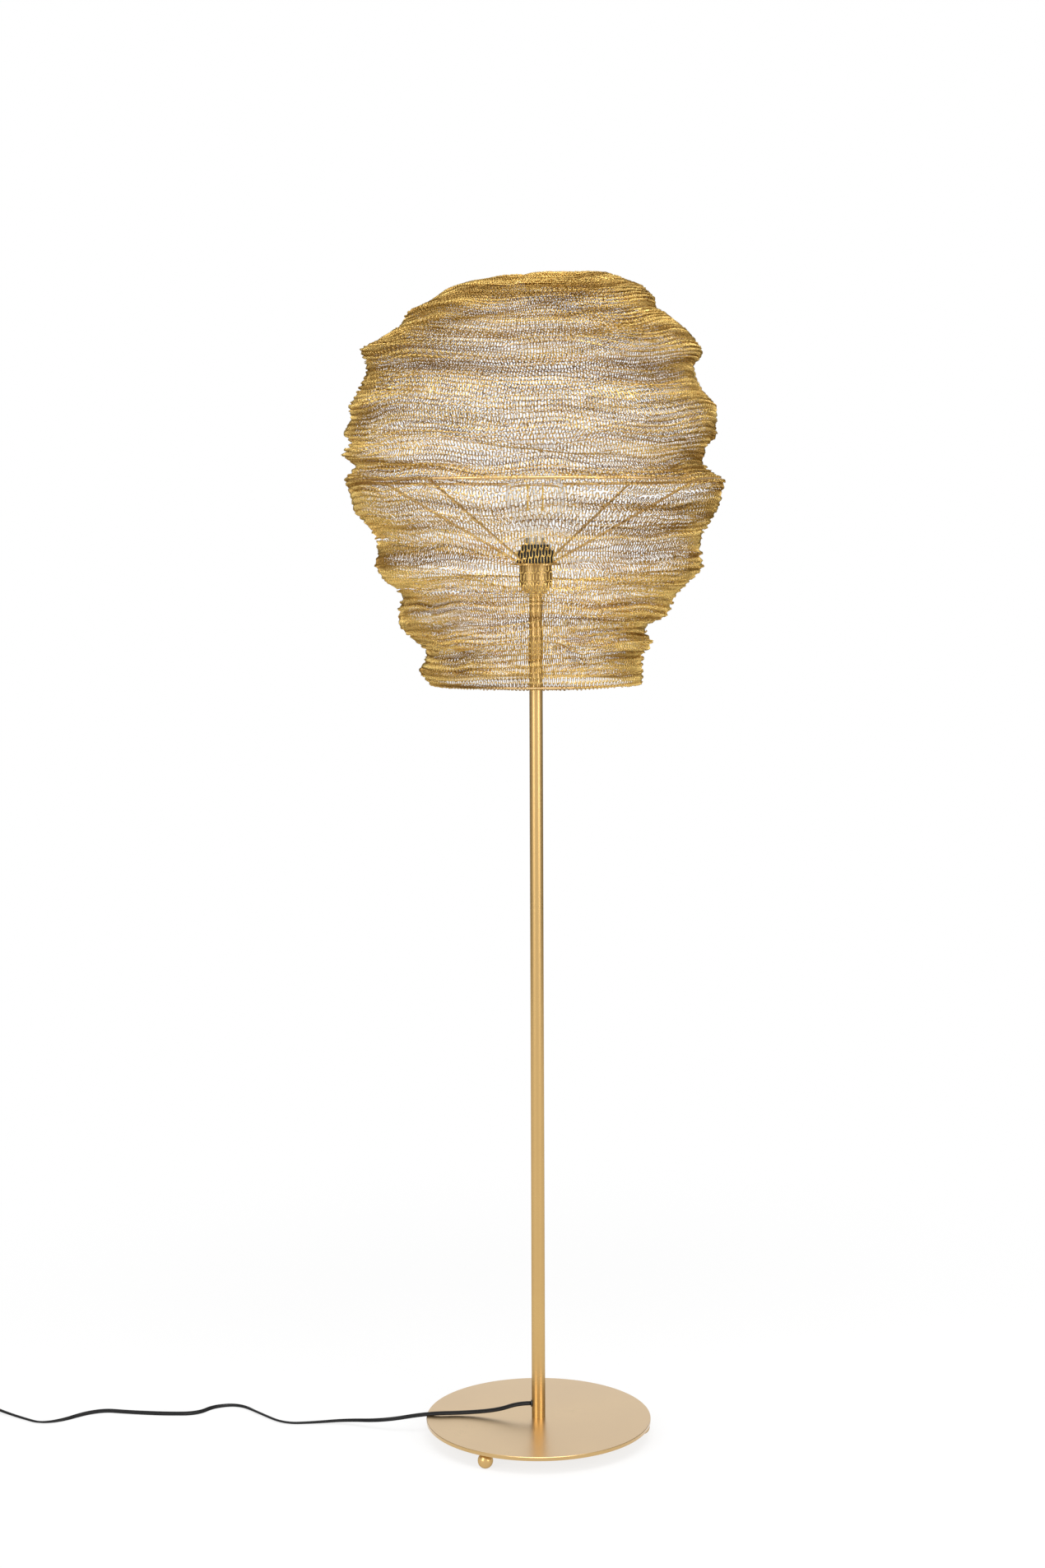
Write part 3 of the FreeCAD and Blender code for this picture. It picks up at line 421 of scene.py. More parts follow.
def makeFinish(name, build):
    material = bpy.data.materials.new(name)
    material.use_nodes = True
    graph = Graph(material.node_tree)
    shader = build(graph)
    graph.add("ShaderNodeOutputMaterial", {}, {"Surface": shader})
    return material


def principled(graph, **sockets):
    # a socket's name is written with underscores for its spaces
    values = {key.replace("_", " "): value for key, value in sockets.items()}
    return graph.add("ShaderNodeBsdfPrincipled", {}, values)


# A noise is given as its cells to a metre, its detail and at times its roughness, a bump as its
# strength and depth, and a span is the part of a noise's range that is stretched to 0..1

satinGold = {
    "light": (0.635, 0.415, 0.16),
    "deep": (0.565, 0.36, 0.135),
    "edgeTint": (0.6, 0.55, 0.45),
    "cloud": (9.0, 4.0, 0.6),
    "cloudSpan": (0.35, 0.65),
    "cloudTone": 0.55,
    "grain": (1500.0, 2.0),
    "grainTone": 0.35,
    "speck": (620.0, 1.0),
    "speckSpan": (0.62, 0.72),
    "roughness": 0.27,
    "cloudRough": 0.07,
    "grainRough": 0.04,
    "speckSmooth": 0.03,
    "bump": (0.02, 0.00004),
    "lacquer": 0.3,
    "lacquerCloud": 0.1,
    "lacquerRough": 0.2,
    # painted shade: the lampholder's cup takes a darker copy of this finish
    "cupPaintedShade": 0.7,  # the lampholder's cup is darker
}


def satinGoldFinish(graph, shade=1.0):
    look = satinGold
    place = graph.place()
    cloud = graph.spread(graph.noise(place, *look["cloud"]), *look["cloudSpan"])
    grain = graph.noise(place, *look["grain"])
    speck = graph.spread(graph.noise(place, *look["speck"]), *look["speckSpan"])
    # a shade below 1 paints shade into both colours, as on the cup
    tones = [tuple(shade * part for part in look[key]) for key in ("light", "deep")]
    colour = graph.blend(cloud * look["cloudTone"] + grain * look["grainTone"], *tones)
    roughness = look["roughness"] + look["cloudRough"] * cloud
    roughness = roughness + look["grainRough"] * (grain - 0.5) - look["speckSmooth"] * speck
    return principled(
        graph, Base_Color=colour, Metallic=1.0, Roughness=roughness, Specular_Tint=look["edgeTint"],
        Normal=graph.bump(grain, *look["bump"]), Coat_Roughness=look["lacquerRough"],
        Coat_Weight=look["lacquer"] + look["lacquerCloud"] * cloud,
    )


def cupPaintedShadeFinish(graph):
    return satinGoldFinish(graph, satinGold["cupPaintedShade"])


plateGold = {
    "light": (0.6, 0.395, 0.155),
    "deep": (0.54, 0.345, 0.13),
    "cloud": (7.0, 4.0, 0.6),
    "cloudSpan": (0.35, 0.65),
    "cloudTone": 0.5,
    "grain": (1500.0, 2.0),
    "grainTone": 0.3,
    "roughness": 0.28,
    "cloudRough": 0.04,
    "grainRough": 0.05,
    "bump": (0.02, 0.00004),
    "lacquer": 0.9,
    "lacquerCloud": 0.1,
    "lacquerRough": 0.28,
}


def plateGoldFinish(graph):
    look = plateGold
    place = graph.place()
    cloud = graph.spread(graph.noise(place, *look["cloud"]), *look["cloudSpan"])
    grain = graph.noise(place, *look["grain"])
    tone = cloud * look["cloudTone"] + grain * look["grainTone"]
    return principled(
        graph, Base_Color=graph.blend(tone, look["light"], look["deep"]), Metallic=1.0,
        Roughness=look["roughness"] + look["cloudRough"] * cloud + look["grainRough"] * (grain - 0.5),
        Normal=graph.bump(grain, *look["bump"]), Coat_Roughness=look["lacquerRough"],
        Coat_Weight=look["lacquer"] + look["lacquerCloud"] * cloud,
    )


wireGold = {
    "light": (1.0, 0.72, 0.25),
    "deep": (0.31, 0.175, 0.048),
    "edgeTint": (0.75, 0.5, 0.22),
    "paintedLightWeight": 0.75,
    "tarnish": (1.0, 3.0, 0.6),
    "tarnishStretch": (9.0, 9.0, 70.0),  # cells to a metre sideways and upwards
    "tarnishSpan": (0.34, 0.66),
    "tarnishTone": 0.2,
    "grain": (900.0, 1.0),
    "grainTone": 0.2,
    "roughness": 0.21,
    "grainRough": 0.12,
    "bump": (0.25, 0.00005),
}


def wireGoldFinish(graph):
    look = wireGold
    place = graph.place()
    # painted light and shade from the knit's folds, with random streaks, mixes the two colours
    polish = graph.add("ShaderNodeAttribute", {"attribute_name": "polish"}, output="Fac")
    patches = graph.noise(graph.stretched(place, look["tarnishStretch"]), *look["tarnish"])
    tarnish = graph.spread(patches, *look["tarnishSpan"])
    grain = graph.noise(place, *look["grain"])
    tone = look["paintedLightWeight"] * polish + look["tarnishTone"] * tarnish + look["grainTone"] * (grain - 0.5)
    return principled(
        graph, Base_Color=graph.blend(tone, look["deep"], look["light"]), Metallic=1.0,
        Roughness=look["roughness"] + look["grainRough"] * grain, Specular_Tint=look["edgeTint"],
        Normal=graph.bump(grain, *look["bump"]),
    )


rodGold = {
    "light": (0.74, 0.52, 0.26),
    "deep": (0.6, 0.4, 0.18),
    "metal": 0.95,
    "cloud": (30.0, 3.0),
    "cloudSpan": (0.35, 0.65),
    "cloudTone": 0.6,
    "grain": (700.0, 2.0),
    "grainTone": 0.3,
    "roughness": 0.28,
    "grainRough": 0.12,
    "bump": (0.2, 0.00005),
}


def rodGoldFinish(graph):
    look = rodGold
    place = graph.place()
    grain = graph.noise(place, *look["grain"])
    cloud = graph.spread(graph.noise(place, *look["cloud"]), *look["cloudSpan"])
    tone = cloud * look["cloudTone"] + grain * look["grainTone"]
    return principled(
        graph, Base_Color=graph.blend(tone, look["light"], look["deep"]), Metallic=look["metal"],
        Roughness=look["roughness"] + look["grainRough"] * grain, Normal=graph.bump(grain, *look["bump"]),
    )


# finishes of one kind: two colours that a cloud mixes, and a grain that roughens them.
# Without a cloud of its own, the grain mixes the colours too. bend is how much light is bent

plainLooks = {
    "plain_steel": {
        "colours": ((0.62, 0.62, 0.63), (0.45, 0.45, 0.47)), "metal": 1.0, "cloud": (60.0, 3.0),
        "grain": (800.0, 2.0), "roughness": 0.25, "grainRough": 0.2, "bump": (0.2, 0.00005),
    },
    "nickel": {
        "colours": ((0.6, 0.58, 0.54), (0.48, 0.46, 0.42)), "metal": 1.0,
        "grain": (120.0, 3.0), "roughness": 0.24, "grainRough": 0.14, "bump": (0.08, 0.0001),
    },
    "brass": {
        "colours": ((0.78, 0.58, 0.25), (0.55, 0.38, 0.15)), "metal": 1.0,
        "grain": (150.0, 3.0), "roughness": 0.22, "grainRough": 0.2, "bump": (0.1, 0.0001),
    },
    "black_plastic": {
        "colours": ((0.012, 0.012, 0.013), (0.024, 0.023, 0.023)), "bend": 1.4, "cloud": (70.0, 2.0),
        "grain": (1800.0, 2.0), "roughness": 0.4, "grainRough": 0.14, "bump": (0.3, 0.00006),
    },
    "cord_jacket": {
        "colours": ((0.004, 0.004, 0.0045), (0.012, 0.012, 0.0125)), "bend": 1.29, "cloud": (25.0, 2.0),
        "grain": (500.0, 2.0), "roughness": 0.26, "grainRough": 0.12, "bump": (0.12, 0.0001),
    },
    "ceramic": {
        "colours": ((0.82, 0.8, 0.75), (0.7, 0.68, 0.63)),
        "grain": (400.0, 3.0), "roughness": 0.2, "grainRough": 0.2, "bump": (0.1, 0.0001),
    },
    "black_glass": {
        "colours": ((0.008, 0.008, 0.014), (0.02, 0.02, 0.03)),
        "grain": (200.0, 2.0), "roughness": 0.08, "grainRough": 0.1,
    },
    "filament": {
        "colours": ((0.86, 0.55, 0.08), (0.72, 0.42, 0.05)),
        "grain": (900.0, 2.0), "roughness": 0.45, "grainRough": 0.2, "bump": (0.3, 0.0001),
    },
}


def plainFinish(name):
    look = plainLooks[name]

    def build(graph):
        place = graph.place()
        grain = graph.noise(place, *look["grain"])
        cloud = graph.noise(place, *look["cloud"]) if "cloud" in look else grain
        sockets = {"Metallic": look.get("metal", 0.0)}
        if "bend" in look:
            sockets["IOR"] = look["bend"]
        if "bump" in look:
            sockets["Normal"] = graph.bump(grain, *look["bump"])
        return principled(
            graph, Base_Color=graph.blend(cloud, *look["colours"]),
            Roughness=look["roughness"] + look["grainRough"] * grain, **sockets,
        )

    return build


glassLooks = {
    "clear_glass": {
        "colour": (0.985, 0.985, 0.98), "roughness": 0.0, "bend": 1.3,
        "wave": (45.0, 2.0), "bump": (0.02, 0.0004),
    },
    # hollow in the real bulb, so it bends the light less than solid glass would
    "stem_glass": {
        "colour": (0.97, 0.97, 0.96), "roughness": 0.03, "bend": 1.08,
        "wave": (90.0, 2.0), "bump": (0.02, 0.0004),
    },
}


def glassFinish(name):
    look = glassLooks[name]

    def build(graph):
        wave = graph.noise(graph.place(), *look["wave"])
        return principled(
            graph, Base_Color=look["colour"], Metallic=0.0, Roughness=look["roughness"],
            IOR=look["bend"], Transmission_Weight=1.0, Normal=graph.bump(wave, *look["bump"]),
        )

    return build


# each finish, and the pieces from the frame that wear it
finishes = {
    "satin_gold": (satinGoldFinish, ["pole", "carrier_ring", "ball_feet"]),
    "cup_gold_painted_shade": (cupPaintedShadeFinish, ["holder_cup"]),
    "plate_gold": (plateGoldFinish, ["base_plate"]),
    "rod_gold": (rodGoldFinish, ["spokes", "main_ring", "bottom_ring", "top_tie"]),
    "wire_gold": (wireGoldFinish, []),
    "plain_steel": (plainFinish("plain_steel"), [
        "foot_studs", "base_washer", "base_bolt", "pole_end_plug", "pole_top_plug", "holder_nipple",
        "nipple_nut", "switch_screws", "filament_wires",
    ]),
    "nickel": (plainFinish("nickel"), ["plug_pins", "bulb_cap", "bulb_tip"]),
    "brass": (plainFinish("brass"), [
        "screw_shell", "centre_contact", "terminal_screws", "switch_contacts",
    ]),
    "black_plastic": (plainFinish("black_plastic"), [
        "cord_bush", "holder_cap", "holder_body", "cord_grip", "shade_ring", "switch_lower_shell",
        "switch_upper_shell", "switch_block", "switch_reliefs", "switch_clamps", "switch_button",
        "plug_body", "plug_relief", "pin_sleeves", "coil_tie",
    ]),
    "cord_jacket": (plainFinish("cord_jacket"), ["pole_cord", "core_wires", "switch_leads"]),
    "ceramic": (plainFinish("ceramic"), ["contact_block"]),
    "clear_glass": (glassFinish("clear_glass"), ["bulb_glass"]),
    "stem_glass": (glassFinish("stem_glass"), ["bulb_stem"]),
    "black_glass": (plainFinish("black_glass"), ["bulb_insulator"]),
    "filament": (plainFinish("filament"), ["bulb_filaments"]),
}

materials = {name: makeFinish(name, build) for name, (build, nodes) in finishes.items()}


def dress(piece, finish):
    piece.data.materials.clear()
    piece.data.materials.append(materials[finish])


for finish, (build, nodes) in finishes.items():
    for node in nodes:
        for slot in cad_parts[node].material_slots:
            slot.material = materials[finish]
for piece in (floorCord, plugCord):
    dress(piece, "cord_jacket")
dress(springWire, "plain_steel")
print("finishes made")


# knitted shade. Two outlines, of its left and right edges, from the hem up, as radius and height in mm

leftFolds = [
    (138, 1011), (140.5, 1005.2), (143, 1008), (154.8, 1024), (144.7, 1043), (148, 1055), (164, 1066),
    (173, 1075), (182.7, 1085), (183.8, 1107), (176.3, 1123), (187, 1136), (201.5, 1147), (216.3, 1166),
    (210.5, 1181), (214, 1210), (226.8, 1224), (242.7, 1238), (246.5, 1262), (252.3, 1280), (237.8, 1296),
    (250.7, 1310), (240.5, 1326), (255.5, 1340), (244.4, 1361), (247.4, 1378), (234.5, 1400),
    (225.7, 1418), (224.7, 1433), (231.6, 1452), (209, 1461), (182, 1479), (170, 1501), (142, 1515),
    (116.5, 1529), (83.5, 1542), (47.5, 1548), (14, 1551), (8.5, 1545), (8, 1534),
]
rightFolds = [
    (138, 1011), (140.5, 1005.2), (142, 1009), (141, 1028), (140, 1045), (152.6, 1053), (155.8, 1062),
    (144.2, 1072), (149.2, 1083), (173.4, 1096), (183.4, 1120), (197.7, 1138), (212, 1150), (223, 1161),
    (220.2, 1186), (221.3, 1207), (233, 1221), (241.2, 1234), (248.4, 1254), (251.9, 1277), (233.8, 1289),
    (221.4, 1301), (225, 1320), (240.7, 1335), (240.7, 1355), (242.9, 1376), (223, 1396),
    (213, 1414), (211.6, 1431), (224, 1446), (209.6, 1468), (184, 1492), (162.4, 1506), (159, 1521),
    (144.7, 1536), (97, 1554), (52, 1555), (14, 1552), (8.5, 1545), (8, 1534),
]

knit = {
    "wales": 168,
    "courses": 116,
    "segments": 10,
    "samples": 1000,  # points along each meridian that the courses are laid on
    "gatherSteps": 400,  # steps in which the gathers below are summed up
    "strand": 0.00068,  # from the wire's middle to the corners of its section
    "sides": 3,
    "margin": 0.1,  # kept free at hem and crown, in courses
    "ends": 0.0005,  # the same for the loops, as a share of the way up
    "loopHeight": 0.63,  # half the height of a loop, in courses
    "loopSquare": 0.22,  # how much the tops and feet of the loops are flattened
    "loopBow": 0.09,  # how far the legs bow, in wales
    "loopDepth": 0.0008,
    "loopChange": 0.12,  # how much the loops differ in height
    "coursesPerPiece": 18,
    "bunching": 0.27,  # how far the loops stray up and down, in courses
    "sway": 0.7,  # how far the wales wander sideways, in wales
    "seed": 12,
}

# how the tube is crumpled. An edge share is what is left of a fold at the shade's left and right,
# where the outlines already hold the measured folds
drape = {
    "crumple": 0.0062,
    "fineCrumple": 0.6,  # of the coarse one
    "crumpleEdge": 0.1,
    "crease": 0.012,
    "creaseTop": 0.6,
    "creaseMiddle": 0.4,
    "creaseEdge": 0.2,
    "sag": 0.0036,
    "fineSag": 0.0014,
    "sagEdge": 0.15,
    "ripple": 0.0028,  # one ridge to each course
    "rippleEdge": 0.6,
    "ridgeChange": 0.5,  # how much the ridges differ
    "ridgeSpan": (0.1, 2.2),
    "wander": 0.006,  # how far the folds of the front rise and fall on their way
    "droop": 0.5,  # how far a fold hangs, as a share of how far it stands out
    "hemHold": 0.06,  # share of the way up over which the hem's hoop lets go
    "crownHold": 0.12,
    "hoopHeight": 1.2775,  # the main ring holds the tube out here
    "hoopHold": 0.012,
}

# the wire lies calm in front of the lampholder
calmPatch = {"height": 1.181, "halfHeight": 0.024, "halfWidth": 10, "share": 0.9}

# how light the wire is painted: a plain share, and what each thing adds to it. Ridges, bulges, the
# low part and the front and back get painted light; valleys, creases, the crown and the left and
# right edges get painted shade; the streaks are random tone
paintedLightParts = {
    "plain": 0.53,
    "ridge": 0.3,
    "crumple": 0.2,
    "crumpleSize": 1.2,
    "crease": 0.8,
    "streak": 0.34,
    "low": 0.4,
    "lowBelow": 0.45,  # share of the way up
    "lowSpan": (-0.42, 0.3),
    "inside": 0.2,
    "edges": -0.06,
}

# smooth noises over the shade: step from the seed, cells round it, cells from hem to crown
noises = {
    "crumple": (0, 7, 30),
    "fineCrumple": (1, 13, 52),
    "wander": (2, 11, 6),
    "ridges": (4, 10, 112),
    "bunching": (6, 10, 72),
    "loopChange": (7, 168, 60),
    "crease": (8, 8, 26),
    "sway": (9, 12, 22),
    "sag": (10, 10, 18),
    "streak": (11, 8, 180),
    "fineSag": (12, 26, 60),
}
noiseSpread = 2.2  # makes up for what the smoothing takes off

# how closely the courses sit, from hem to crown
gathers = [(0, 1.1), (0.06, 0.8), (0.3, 0.84), (0.42, 0.96), (0.62, 1.04), (0.74, 1.34), (1, 1.6)]

# folds that only the front shows: height and degrees from the front in the middle, half width in
# degrees, half height, depth outwards, and how much lighter the wire is painted along it: painted
# shade where it is below zero, painted light above
frontFolds = [
    {"height": 1.224, "azimuth": 36, "halfWidth": 42, "halfHeight": 0.010, "depth": 0.014, "tone": -0.4},
    {"height": 1.250, "azimuth": 0, "halfWidth": 130, "halfHeight": 0.014, "depth": 0.0, "tone": 0.3},
    {"height": 1.152, "azimuth": 42, "halfWidth": 36, "halfHeight": 0.011, "depth": 0.012, "tone": -0.6},
    {"height": 1.068, "azimuth": 6, "halfWidth": 60, "halfHeight": 0.008, "depth": 0.011, "tone": -0.35},
    {"height": 1.032, "azimuth": 0, "halfWidth": 75, "halfHeight": 0.014, "depth": 0.0, "tone": 0.2},
    {"height": 1.344, "azimuth": 4, "halfWidth": 40, "halfHeight": 0.008, "depth": 0.009, "tone": -0.2},
    {"height": 1.300, "azimuth": -30, "halfWidth": 24, "halfHeight": 0.007, "depth": 0.006, "tone": -0.3},
    {"height": 1.357, "azimuth": -16, "halfWidth": 26, "halfHeight": 0.008, "depth": 0.006, "tone": -0.4},
    {"height": 1.368, "azimuth": 4, "halfWidth": 50, "halfHeight": 0.007, "depth": 0.0, "tone": 0.25},
    {"height": 1.520, "azimuth": 12, "halfWidth": 50, "halfHeight": 0.008, "depth": 0.012, "tone": -0.4},
    {"height": 1.463, "azimuth": 8, "halfWidth": 62, "halfHeight": 0.008, "depth": 0.008, "tone": -0.45},
    {"height": 1.323, "azimuth": -62, "halfWidth": 28, "halfHeight": 0.011, "depth": 0.011, "tone": -0.6},
    {"height": 1.323, "azimuth": 62, "halfWidth": 28, "halfHeight": 0.011, "depth": 0.011, "tone": -0.6},
    {"height": 1.287, "azimuth": -62, "halfWidth": 22, "halfHeight": 0.007, "depth": 0.006, "tone": -0.3},
    {"height": 1.425, "azimuth": 0, "halfWidth": 85, "halfHeight": 0.007, "depth": -0.010, "tone": -0.55},
    {"height": 1.441, "azimuth": 0, "halfWidth": 60, "halfHeight": 0.007, "depth": 0.0, "tone": 0.3},
    {"height": 1.500, "azimuth": -46, "halfWidth": 28, "halfHeight": 0.010, "depth": 0.010, "tone": -0.5},
    {"height": 1.476, "azimuth": -44, "halfWidth": 28, "halfHeight": 0.009, "depth": 0.009, "tone": -0.5},
    {"height": 1.535, "azimuth": -40, "halfWidth": 30, "halfHeight": 0.007, "depth": 0.009, "tone": -0.4},
]


def splineWeights(share):
    # how much each of four cells in a row counts, at a share of the way between the middle two
    return (
        (1 - share) ** 3 / 6,
        (3 * share**3 - 6 * share**2 + 4) / 6,
        (-3 * share**3 + 3 * share**2 + 3 * share + 1) / 6,
        share**3 / 6,
    )


def levelNoise(name):
    step, around, along = noises[name]
    grid = np.random.default_rng(knit["seed"] + step).standard_normal((along + 4, around))

    def read(turn, rise):
        x, y = turn * around, np.clip(rise, 0, 1) * along
        column, row = np.floor(x).astype(int), np.floor(y).astype(int)
        total = 0
        for i, upward in enumerate(splineWeights(y - row)):
            cellRow = np.clip(row + i, 0, along + 3)
            for j, sideways in enumerate(splineWeights(x - column)):
                total = total + upward * sideways * grid[cellRow, (column + j - 1) % around]
        return total * noiseSpread

    return read


def outline(folds, samples):
    # radius and height along one edge, in metres
    points = np.array(folds) / 1000
    index = np.linspace(0, len(points) - 1, samples)
    return [np.interp(index, np.arange(len(points)), points[:, k]) for k in (0, 1)]


def shareUp(radius, height):
    # how far up along the fabric each point lies, from 0 at the hem to 1 at the crown
    steps = np.hypot(np.diff(radius, axis=1), np.diff(height, axis=1))
    along = np.concatenate([np.zeros((len(radius), 1)), np.cumsum(steps, axis=1)], axis=1)
    return along / along[:, -1:]


def coursePlaces():
    # share of the way up at which each course lies
    at, closeness = np.array(gathers).T
    fine = np.linspace(0, 1, knit["gatherSteps"])
    share = np.cumsum(np.interp(fine, at, closeness))
    share = (share - share[0]) / (share[-1] - share[0])
    rows, margin = knit["courses"], knit["margin"]
    return np.interp((np.arange(rows) + (0.5 + margin)) / (rows + 2 * margin), share, fine)


def degreesFromFront(turns):
    return (360 * turns + 180) % 360 - 180


def calmAhead(degrees, height):
    across = (degrees / calmPatch["halfWidth"]) ** 2
    up = ((height - calmPatch["height"]) / calmPatch["halfHeight"]) ** 2
    return 1 - calmPatch["share"] * np.exp(-across - up)


def easeEdges(inside, edge):
    # whole at the front and back, and only the edge share at the left and right
    return edge + (1 - edge) * inside


def meridians(turns, samples):
    # radius, height, share of the way up and painted light and shade of the knit at each turn, with all
    # its folds
    azimuth = 2 * np.pi * turns
    right = (0.5 + 0.5 * np.sin(azimuth))[:, None]
    leftRadius, leftHeight = outline(leftFolds, samples)
    rightRadius, rightHeight = outline(rightFolds, samples)
    radius = right * rightRadius + (1 - right) * leftRadius
    height = right * rightHeight + (1 - right) * leftHeight
    turn = np.repeat(turns[:, None], samples, axis=1)
    rise = shareUp(radius, height)

    # how freely the tube crumples: not at its hoops, and hardly at the edges and in the calm patch
    inside = np.cos(azimuth)[:, None] ** 2
    loose = np.clip(np.minimum(rise / drape["hemHold"], (1 - rise) / drape["crownHold"]), 0, 1)
    hoop = 1 - np.exp(-(((height - drape["hoopHeight"]) / drape["hoopHold"]) ** 2))
    degrees = degreesFromFront(turns)
    calm = calmAhead(degrees[:, None], height)

    crumple = levelNoise("crumple")(turn, rise)
    crumple = crumple + drape["fineCrumple"] * levelNoise("fineCrumple")(turn, rise)
    crease = np.minimum(np.abs(levelNoise("crease")(turn, rise)), drape["creaseTop"])
    crease = crease - drape["creaseMiddle"]
    push = drape["crumple"] * crumple * easeEdges(inside, drape["crumpleEdge"])
    push = push + drape["crease"] * crease * easeEdges(inside, drape["creaseEdge"])
    push = push * loose * hoop * calm

    # painted light at the front and back, painted shade at the left and right edges; each front fold adds
    # painted shade or painted light
    tone = paintedLightParts["inside"] * inside + paintedLightParts["edges"]
    wander = drape["wander"] * levelNoise("wander")(turn, rise)
    for fold in frontFolds:
        across = np.clip(1 - ((degrees - fold["azimuth"]) / fold["halfWidth"]) ** 2, 0, 1)[:, None]
        up = (height + wander - fold["height"]) / fold["halfHeight"]
        shape = across * np.exp(-(up**2))
        push = push + fold["depth"] * shape
        tone = tone + fold["tone"] * shape
    radius = radius + push
    height = height - drape["droop"] * np.maximum(push, 0) * inside

    sag = drape["sag"] * levelNoise("sag")(turn, rise)
    sag = sag + drape["fineSag"] * levelNoise("fineSag")(turn, rise)
    height = height + sag * easeEdges(inside, drape["sagEdge"]) * loose * hoop * calm
    rise = shareUp(radius, height)  # the courses keep their pitch along the folds

    course = np.interp(rise, coursePlaces(), np.arange(knit["courses"]))
    size = 1 + drape["ridgeChange"] * levelNoise("ridges")(turn, rise)
    ridges = -np.cos(2 * np.pi * course) * np.clip(size, *drape["ridgeSpan"])
    push = drape["ripple"] * ridges * loose * calm * easeEdges(inside, drape["rippleEdge"])

    # painted highlights on ridges and bulges, painted shade in valleys and creases, lighter low down and
    # darker towards the crown, and random level streaks
    polish = paintedLightParts["plain"] + paintedLightParts["ridge"] * ridges
    polish = polish + paintedLightParts["crumple"] * crumple / paintedLightParts["crumpleSize"] + paintedLightParts["crease"] * crease
    polish = polish + paintedLightParts["streak"] * levelNoise("streak")(turn, rise)
    polish = polish + paintedLightParts["low"] * np.clip(paintedLightParts["lowBelow"] - rise, *paintedLightParts["lowSpan"]) + tone
    return radius + push, height, rise, np.clip(polish, 0, 1)


def knitPoints():
    loops, parts, rows = knit["wales"], knit["segments"], knit["courses"]
    count = loops * parts
    turns = np.arange(count) / count
    degrees = degreesFromFront(turns)
    radius, height, rise, polish = meridians(turns, knit["samples"])
    samples = rise.shape[1]
    firsts = np.arange(count) * samples
    lane = 2.0 * np.arange(count)  # one sorted list of all the meridians, each in its own lane
    allRise = (rise + lane[:, None]).ravel()
    allRadius, allHeight, allPaintedLight = radius.ravel(), height.ravel(), polish.ravel()
    tiny = 1e-12  # keeps a division from failing where two samples meet

    # one loop, as the shares of its height, bow and depth at each of its points
    theta = 2 * np.pi * np.arange(count) / parts
    square = np.cos(theta) * (1 + knit["loopSquare"] * np.sin(theta) ** 2)
    bow = knit["loopBow"] * np.sin(2 * theta)
    off = knit["loopDepth"] * np.cos(2 * theta)

    bunching, loopChange, sway = [levelNoise(name) for name in ("bunching", "loopChange", "sway")]
    places = coursePlaces()
    pitches = np.gradient(places)
    frontHeights = np.interp(places, rise[0], height[0])
    points, tones = np.zeros((rows, count, 3)), np.zeros((rows, count))
    for row, (place, pitch) in enumerate(zip(places, pitches)):
        level = np.full(count, place)
        calm = calmAhead(degrees, frontHeights[row])
        middle = place + knit["bunching"] * pitch * bunching(turns, level) * calm
        size = 1 + knit["loopChange"] * loopChange(turns, level) * calm
        target = middle - knit["loopHeight"] * size * square * pitch
        target = np.clip(target, knit["ends"], 1 - knit["ends"])
        low = np.searchsorted(allRise, target + lane) - 1
        low = np.clip(low, firsts, firsts + samples - 2)
        share = (target + lane - allRise[low]) / (allRise[low + 1] - allRise[low] + tiny)
        outward, upward = allRadius[low + 1] - allRadius[low], allHeight[low + 1] - allHeight[low]
        away = np.hypot(outward, upward) + tiny
        r = allRadius[low] + outward * share + off * upward / away
        z = allHeight[low] + upward * share - off * outward / away
        angle = 2 * np.pi * (turns + (bow + knit["sway"] * sway(turns, level)) / loops)
        points[row] = np.stack([r * np.sin(angle), -r * np.cos(angle), z], axis=1)
        tones[row] = allPaintedLight[low]
    return points, tones


def strandTree():
    # paths become wire: a section with a few sides, shaded smooth
    tree = bpy.data.node_groups.new("strands", "GeometryNodeTree")
    face = tree.interface
    face.new_socket("Paths", in_out="INPUT", socket_type="NodeSocketGeometry")
    strand = face.new_socket("Strand radius", in_out="INPUT", socket_type="NodeSocketFloat")
    sides = face.new_socket("Sides", in_out="INPUT", socket_type="NodeSocketInt")
    finish = face.new_socket("Finish", in_out="INPUT", socket_type="NodeSocketMaterial")
    face.new_socket("Wire", in_out="OUTPUT", socket_type="NodeSocketGeometry")
    new, link = tree.nodes.new, tree.links.new
    enter, leave = new("NodeGroupInput"), new("NodeGroupOutput")
    curve = new("GeometryNodeMeshToCurve")
    ring = new("GeometryNodeCurvePrimitiveCircle")
    tube = new("GeometryNodeCurveToMesh")
    smooth = new("GeometryNodeSetShadeSmooth")
    real = new("GeometryNodeRealizeInstances")
    paint = new("GeometryNodeSetMaterial")
    link(enter.outputs["Paths"], curve.inputs["Mesh"])
    link(enter.outputs["Strand radius"], ring.inputs["Radius"])
    link(enter.outputs["Sides"], ring.inputs["Resolution"])
    link(curve.outputs["Curve"], tube.inputs["Curve"])
    link(ring.outputs["Curve"], tube.inputs["Profile Curve"])
    link(tube.outputs["Mesh"], smooth.inputs["Geometry"])
    link(smooth.outputs["Geometry"], real.inputs["Geometry"])
    link(real.outputs["Geometry"], paint.inputs["Geometry"])
    link(enter.outputs["Finish"], paint.inputs["Material"])
    link(paint.outputs["Geometry"], leave.inputs["Wire"])
    return tree, strand.identifier, sides.identifier, finish.identifier


